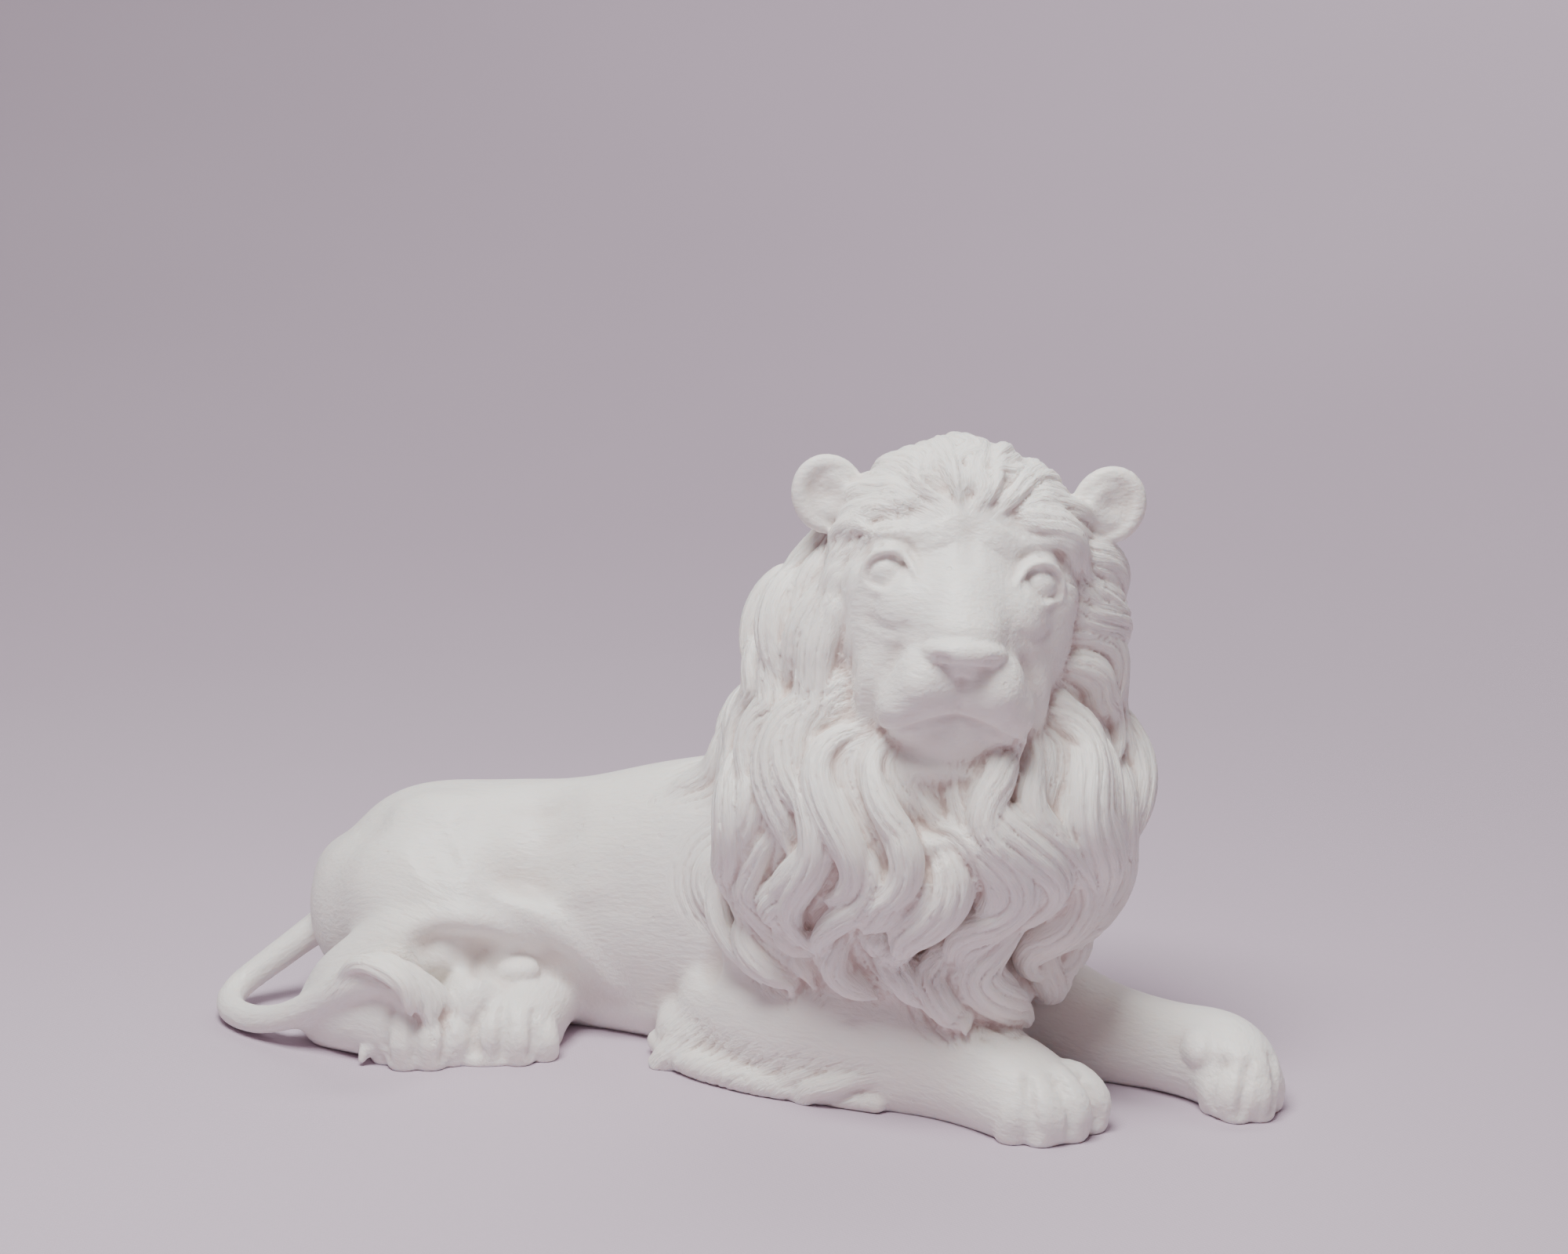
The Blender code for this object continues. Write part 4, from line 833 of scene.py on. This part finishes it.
class Comb:
    """Finds, for points on the skin, the hair line they belong to and their place on it."""

    def __init__(self, locks):
        self.table = comb(locks)
        hair = self.table[:, ON_LOCK] > 0
        self.trees = []
        for choice in (np.where(hair & (self.table[:, TURN] == 0))[0], np.where(~hair)[0]):
            tree = KDTree(len(choice))
            for i, row in enumerate(choice):
                tree.insert(self.table[row, PLACE], i)
            tree.balance()
            self.trees.append((tree, choice))

    def nearest(self, points):
        """Rows of the table for the points, and how surely each lies on a lock, from 0 to 1."""
        tree, choice = self.trees[0]
        found = np.array([[hit[1] for hit in tree.find_n(p, 12)] for p in points])
        rows = choice[found]
        t = self.table[rows]
        gap = points[:, None] - t[..., PLACE]
        reach = t[..., REACH]
        wide = np.einsum("ijk,ijk->ij", gap, t[..., SIDE]) / reach
        high = np.einsum("ijk,ijk->ij", gap, t[..., TOP]) / (0.3 + 0.75 * reach)
        ahead = np.einsum("ijk,ijk->ij", gap, t[..., RUN])
        apart = wide**2 + high**2 + (np.maximum(np.abs(ahead) - 1.5, 0) / 1.5) ** 2
        best = apart.argmin(1)
        every = np.arange(len(points))
        rows = rows[every, best]
        end = len(self.table) - 1
        step = self.table[np.minimum(rows + 1, end), ALONG] - self.table[rows, ALONG]
        step = np.where(step > 0.1, step, 1.0)
        rows = rows + np.round(ahead[every, best] / step).astype(int).clip(-STATIONS, STATIONS)
        ends = self.table[rows.clip(0, end)].astype(int)
        rows = rows.clip(ends[:, FIRST], ends[:, LAST])
        sure = np.clip((2.6 - np.sqrt(apart[every, best])) / 0.8, 0, 1) * self.furred(points)
        tree, choice = self.trees[1]
        for i in np.where(sure < 0.05)[0]:
            rows[i] = choice[tree.find(points[i])[1]]
        return rows, sure

    def furred(self, points):
        """1 on the mane, falling to 0 on the bare face and inside the ears."""
        q = in_head(points)
        narrow = 22.5 - 0.22 * np.clip(-8 - q[:, 2], 0, 20)
        ring = np.hypot(q[:, 1] / narrow, (q[:, 2] + 8) / 24.0)
        face = np.clip((1.06 - ring) / 0.12, 0, 1) * np.clip(q[:, 0] / 3.0, 0, 1)
        cup = np.zeros(len(q))
        for side, out, up in EARS:
            far = np.hypot(q[:, 1] - side * (out + 1.0), q[:, 2] - up - 1.0)
            cup = np.maximum(cup, np.clip((9.0 - far) / 1.5, 0, 1) * (np.abs(q[:, 0]) < 4.5))
        return (1 - face) * (1 - cup)

    def place(self, points, rows):
        """Across, along and off a line, in shares, with the line's reach and number."""
        t = self.table[rows]
        gap = points - t[:, PLACE]
        across = np.einsum("ij,ij->i", gap, t[:, SIDE])
        along = t[:, ALONG] + np.einsum("ij,ij->i", gap, t[:, RUN])
        off = np.einsum("ij,ij->i", gap, t[:, TOP])
        return across, along, off, t[:, REACH], t[:, NUMBER]


def comb_strands(obj, hair):
    """Presses the grooves between a lock's strands into the mane."""
    points, normals = shares(obj.data)
    rows, sure = hair.nearest(points)
    across, along, _, reach, line = hair.place(points, rows)
    full = LOCK_HALF_WIDTH
    spread = across * full / (0.45 * full + 0.55 * reach)
    phase = spread / STRAND * math.pi + 0.8 * np.sin(along / 8.0 + line * 1.7) + line * 2.3
    groove = (1 - np.abs(np.sin(phase))) ** 1.6
    fine = (1 - np.abs(np.sin(phase * 2.0 + 0.9 * np.sin(along / 5.0 + line)))) ** 1.6
    depth = sure * (STRAND_DEPTH * groove + 0.4 * STRAND_DEPTH * fine) * np.clip(reach / full, 0.35, 1)
    co = (points - normals * depth[:, None]) * UNIT
    obj.data.vertices.foreach_set("co", co.astype(np.float32).ravel())
    obj.data.update()


def thin_out(obj, triangles):
    """Fewer triangles, kept where the carving is fine."""
    fewer = obj.modifiers.new("fewer", "DECIMATE")
    fewer.ratio = triangles / (2 * len(obj.data.polygons))
    graph = bpy.context.evaluated_depsgraph_get()
    obj.data = bpy.data.meshes.new_from_object(obj.evaluated_get(graph))
    obj.modifiers.clear()


def trim_underside(obj):
    """Cuts the casting off flat at the floor and closes the cut."""
    bm = bmesh.new()
    bm.from_mesh(obj.data)
    cut = bmesh.ops.bisect_plane(bm, geom=bm.verts[:] + bm.edges[:] + bm.faces[:], dist=1e-6,
                                 plane_co=(0, 0, 0), plane_no=(0, 0, 1), clear_inner=True)
    rim = [e for e in cut["geom_cut"] if isinstance(e, bmesh.types.BMEdge)]
    bmesh.ops.triangle_fill(bm, edges=rim, normal=(0, 0, -1))
    bmesh.ops.recalc_face_normals(bm, faces=bm.faces[:])
    bmesh.ops.triangulate(bm, faces=bm.faces[:])
    loose = [v for v in bm.verts if not v.link_faces]
    bmesh.ops.delete(bm, geom=loose, context="VERTS")
    bm.to_mesh(obj.data)
    bm.free()


def write_grain(obj, hair):
    """Each face corner's place on its hair line, and each point's share of hair and of painted shade in its
    hollows.
    """
    mesh = obj.data
    rows, sure = hair.nearest(read(mesh.polygons, "center", 3) / UNIT)
    totals = read(mesh.polygons, "loop_total", 1, int)[:, 0]
    face_of = np.repeat(np.arange(len(totals)), totals)
    points, normals = shares(mesh)
    corners = points[read(mesh.loops, "vertex_index", 1, int)[:, 0]]
    across, along, off, _, line = hair.place(corners, rows[face_of])
    vector = np.column_stack([across, along, off + 11.0 * line]).astype(np.float32)
    grain = mesh.attributes.new("hair_place", "FLOAT_VECTOR", "CORNER")
    grain.data.foreach_set("vector", vector.ravel())
    mane = mesh.attributes.new("mane_share", "FLOAT", "CORNER")
    mane.data.foreach_set("value", sure[face_of].astype(np.float32))
    # Painted shade: how far each point lies below its surface smoothed at a fine and a broad scale sets how
    # much warm shade is painted into it.
    a, b = read(mesh.edges, "vertices", 2, int).T
    level = points.copy()
    hollows = []
    for rounds, deep in ((6, FINE_HOLLOW), (44, BROAD_HOLLOW)):
        for _ in range(rounds):
            total = np.zeros_like(level)
            number = np.zeros(len(level))
            for i, j in ((a, b), (b, a)):
                for k in range(3):
                    total[:, k] += np.bincount(i, level[j, k], len(level))
                number += np.bincount(i, minlength=len(level))
            level = 0.5 * level + 0.5 * total / np.maximum(number, 1)[:, None]
        hollows.append(np.clip(np.einsum("ij,ij->i", level - points, normals) / deep, 0, 1))
    painted_shade_layer = mesh.attributes.new("hollow", "FLOAT", "POINT")
    painted_shade_layer.data.foreach_set("value", (0.5 * hollows[0] + 0.5 * hollows[1]).astype(np.float32))


class Nodes:
    """Short calls for building a material's nodes."""

    def __init__(self, name):
        self.material = bpy.data.materials.new(name)
        self.material.use_nodes = True
        self.tree = self.material.node_tree
        self.shader = next(n for n in self.tree.nodes if n.type == "BSDF_PRINCIPLED")

    def add(self, kind, **settings):
        node = self.tree.nodes.new(kind)
        for key, value in settings.items():
            setattr(node, key, value)
        return node

    def join(self, source, target):
        self.tree.links.new(source, target)

    def feed(self, socket, value):
        if isinstance(value, bpy.types.NodeSocket):
            self.join(value, socket)
        else:
            socket.default_value = value

    def shade(self, name, value):
        self.feed(self.shader.inputs[name], value)

    def attribute(self, name, output):
        return self.add("ShaderNodeAttribute", attribute_name=name).outputs[output]

    def stretched(self, vector, scale):
        node = self.add("ShaderNodeMapping")
        node.inputs["Scale"].default_value = scale
        self.join(vector, node.inputs["Vector"])
        return node.outputs["Vector"]

    def noise(self, vector, scale, detail=3.0, roughness=0.5):
        node = self.add("ShaderNodeTexNoise")
        self.join(vector, node.inputs["Vector"])
        node.inputs["Scale"].default_value = scale
        node.inputs["Detail"].default_value = detail
        node.inputs["Roughness"].default_value = roughness
        return node.outputs["Fac"]

    def math(self, operation, a, b):
        node = self.add("ShaderNodeMath", operation=operation)
        self.feed(node.inputs[0], a)
        self.feed(node.inputs[1], b)
        return node.outputs[0]

    def range(self, value, low, high, to_low=0.0, to_high=1.0):
        node = self.add("ShaderNodeMapRange", interpolation_type="SMOOTHSTEP")
        self.join(value, node.inputs["Value"])
        for key, number in (("From Min", low), ("From Max", high), ("To Min", to_low), ("To Max", to_high)):
            node.inputs[key].default_value = number
        return node.outputs["Result"]

    def blend(self, share, a, b):
        node = self.add("ShaderNodeMix", data_type="RGBA")
        self.join(share, node.inputs["Factor"])
        self.feed(node.inputs[6], a)
        self.feed(node.inputs[7], b)
        return node.outputs[2]

    def bump(self, height, distance, normal=None, strength=1.0):
        node = self.add("ShaderNodeBump")
        node.inputs["Strength"].default_value = strength
        node.inputs["Distance"].default_value = distance
        self.join(height, node.inputs["Height"])
        if normal is not None:
            self.join(normal, node.inputs["Normal"])
        return node.outputs["Normal"]


def marble_resin():
    """White cast marble: translucent, with warm shade painted into the hollows, combed strands, fur strokes
    and pinholes.
    """
    n = Nodes("white_marble_resin")
    place = n.add("ShaderNodeTexCoord").outputs["Object"]
    hair = n.attribute("hair_place", "Vector")
    mane = n.attribute("mane_share", "Fac")
    hollow = n.attribute("hollow", "Fac")
    cloud = n.noise(place, 28.0, 4.0, 0.55)
    fleck = n.noise(place, 420.0, 2.0, 0.6)
    white = n.blend(n.range(cloud, 0.3, 0.7), MARBLE_COOL, MARBLE_WARM)
    # Painted shade: the hollows, more so on the mane, get a warm dark tint.
    painted_shade_share = n.math("MULTIPLY", n.range(hollow, 0.0, 0.9, 0.0, 0.75), n.range(mane, 0.0, 1.0, 0.4, 1.0))
    shaded_white = n.blend(painted_shade_share, white, MARBLE_PAINTED_SHADE)
    n.shade("Base Color", shaded_white)
    n.shade("Subsurface Weight", 0.6)
    n.shade("Subsurface Radius", MARBLE_SPREAD)
    n.shade("Subsurface Scale", MARBLE_DEPTH)
    n.shade("Specular IOR Level", 0.42)
    satin = n.math("ADD", n.range(fleck, 0.3, 0.7, 0.40, 0.52), n.math("MULTIPLY", mane, 0.05))
    n.shade("Roughness", satin)
    strands = n.noise(n.stretched(hair, (1.0, 0.055, 1.0)), 0.95, 2.0, 0.5)
    wisps = n.noise(n.stretched(hair, (1.0, 0.10, 1.0)), 2.1, 2.0, 0.5)
    fur = n.noise(n.stretched(hair, (1.0, 0.33, 1.0)), 1.0, 2.0, 0.55)
    combed = n.math("ADD", n.math("MULTIPLY", strands, 0.7), n.math("MULTIPLY", wisps, 0.45))
    combed = n.math("MULTIPLY", combed, mane)
    short = n.math("MULTIPLY", fur, n.range(mane, 0.0, 1.0, 0.42, 0.0))
    relief = n.math("ADD", combed, short)
    pores = n.add("ShaderNodeTexVoronoi", feature="F1")
    n.join(place, pores.inputs["Vector"])
    pores.inputs["Scale"].default_value = 260.0
    sparse = n.range(n.noise(place, 60.0, 2.0, 0.5), 0.58, 0.66)
    holes = n.math("MULTIPLY", n.range(pores.outputs["Distance"], 0.10, 0.16, 1.0, 0.0), sparse)
    normal = n.bump(relief, STRAND_BUMP)
    normal = n.bump(fleck, 0.00004, normal)
    normal = n.bump(n.math("MULTIPLY", holes, -1.0), 0.00012, normal)
    n.shade("Normal", normal)
    return n.material


def floor_cloth():
    """Pale mauve-grey matt cloth with a fine plain weave."""
    n = Nodes("pale_cloth")
    place = n.add("ShaderNodeTexCoord").outputs["Object"]
    drift = n.noise(place, 3.0, 3.0, 0.5)
    tone = n.blend(drift, CLOTH_DARK, CLOTH_LIGHT)
    n.shade("Base Color", tone)
    n.shade("Roughness", 0.92)
    n.shade("Specular IOR Level", 0.15)
    weave = []
    for axis in ("X", "Y"):
        wave = n.add("ShaderNodeTexWave", wave_type="BANDS", bands_direction=axis)
        n.join(place, wave.inputs["Vector"])
        wave.inputs["Scale"].default_value = 420.0
        wave.inputs["Distortion"].default_value = 1.2
        weave.append(wave.outputs["Fac"])
    n.shade("Normal", n.bump(n.math("MAXIMUM", *weave), 0.00008, strength=0.4))
    return n.material


def sweep():
    """Floor that runs out flat and rises into a soft backdrop on every side."""
    bm = bmesh.new()
    profile = [(0.001, 0.0), (FLAT_FLOOR, 0.0)]
    for i in range(1, 19):
        out = FLAT_FLOOR + 0.14 * i
        profile.append((out, SWEEP_RISE * (out - FLAT_FLOOR) ** 2))
    verts = [bm.verts.new((x, 0, z - 0.0001)) for x, z in profile]
    edges = [bm.edges.new(pair) for pair in zip(verts, verts[1:])]
    bmesh.ops.spin(bm, geom=verts + edges, cent=(0, 0, 0), axis=(0, 0, 1), angle=2 * math.pi,
                   steps=72, use_merge=True)
    bmesh.ops.remove_doubles(bm, verts=bm.verts[:], dist=1e-5)
    bmesh.ops.recalc_face_normals(bm, faces=bm.faces[:])
    bmesh.ops.reverse_faces(bm, faces=bm.faces[:])
    mesh = bpy.data.meshes.new("floor")
    bm.to_mesh(mesh)
    bm.free()
    floor = bpy.data.objects.new("floor", mesh)
    bpy.context.scene.collection.objects.link(floor)
    mesh.materials.append(floor_cloth())
    mesh.shade_smooth()


def soft_box(name, place, aim, size, power, tint):
    """A rectangular soft light that points at a spot and isn't seen itself."""
    data = bpy.data.lights.new(name, "AREA")
    data.shape = "RECTANGLE"
    data.size, data.size_y = size
    data.energy = power
    data.color = tint
    lamp = bpy.data.objects.new(name, data)
    bpy.context.scene.collection.objects.link(lamp)
    lamp.location = place
    lamp.visible_camera = False
    lamp.rotation_euler = (Vector(aim) - Vector(place)).to_track_quat("-Z", "Y").to_euler()


def lights():
    """A soft box above and a little in front, a weak fill, a wash on the backdrop and an even room."""
    soft_box("key", (0.10, -0.28, 0.72), (0.02, 0.0, 0.08), (0.36, 0.28), KEY_POWER, (0.98, 1.0, 0.995))
    soft_box("front", (0.95, -1.15, 0.45), (0.0, 0.0, 0.08), (0.9, 0.7), FILL_POWER, (1.0, 0.94, 0.92))
    soft_box("behind", (0.0, 1.05, 1.5), (-0.6, 1.8, 0.2), (1.6, 1.0), BACK_POWER, (0.98, 0.98, 1.0))
    world = bpy.data.worlds.new("room")
    bpy.context.scene.world = world
    world.use_nodes = True
    background = world.node_tree.nodes["Background"]
    background.inputs["Color"].default_value = ROOM_TINT
    background.inputs["Strength"].default_value = ROOM_LIGHT


def camera():
    """The photograph's view."""
    data = bpy.data.cameras.new("camera")
    data.lens = LENS
    data.sensor_width = 36.0
    data.clip_start = 0.01
    eye = bpy.data.objects.new("camera", data)
    bpy.context.scene.collection.objects.link(eye)
    x, y, z = CAMERA_SPOT
    eye.location = (x - ORIGIN[0] * UNIT, y - ORIGIN[1] * UNIT, z)
    eye.rotation_euler = (math.radians(90 - CAMERA_TILT), 0, math.radians(CAMERA_TURN))
    bpy.context.scene.camera = eye


def lion_piece():
    """The finely carved casting that stands for the plain solid."""
    lion, locks = sculpt()
    hair = Comb(locks)
    comb_strands(lion, hair)
    thin_out(lion, TRIANGLES)
    trim_underside(lion)
    write_grain(lion, hair)
    lion.name = "lion_carving"
    lion.data.name = "lion_carving"
    lion.data.materials.clear()
    lion.data.materials.append(marble_resin())
    lion.data.shade_smooth()
    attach(lion, "root")
    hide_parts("lion")


lion_piece()
sweep()
lights()
camera()
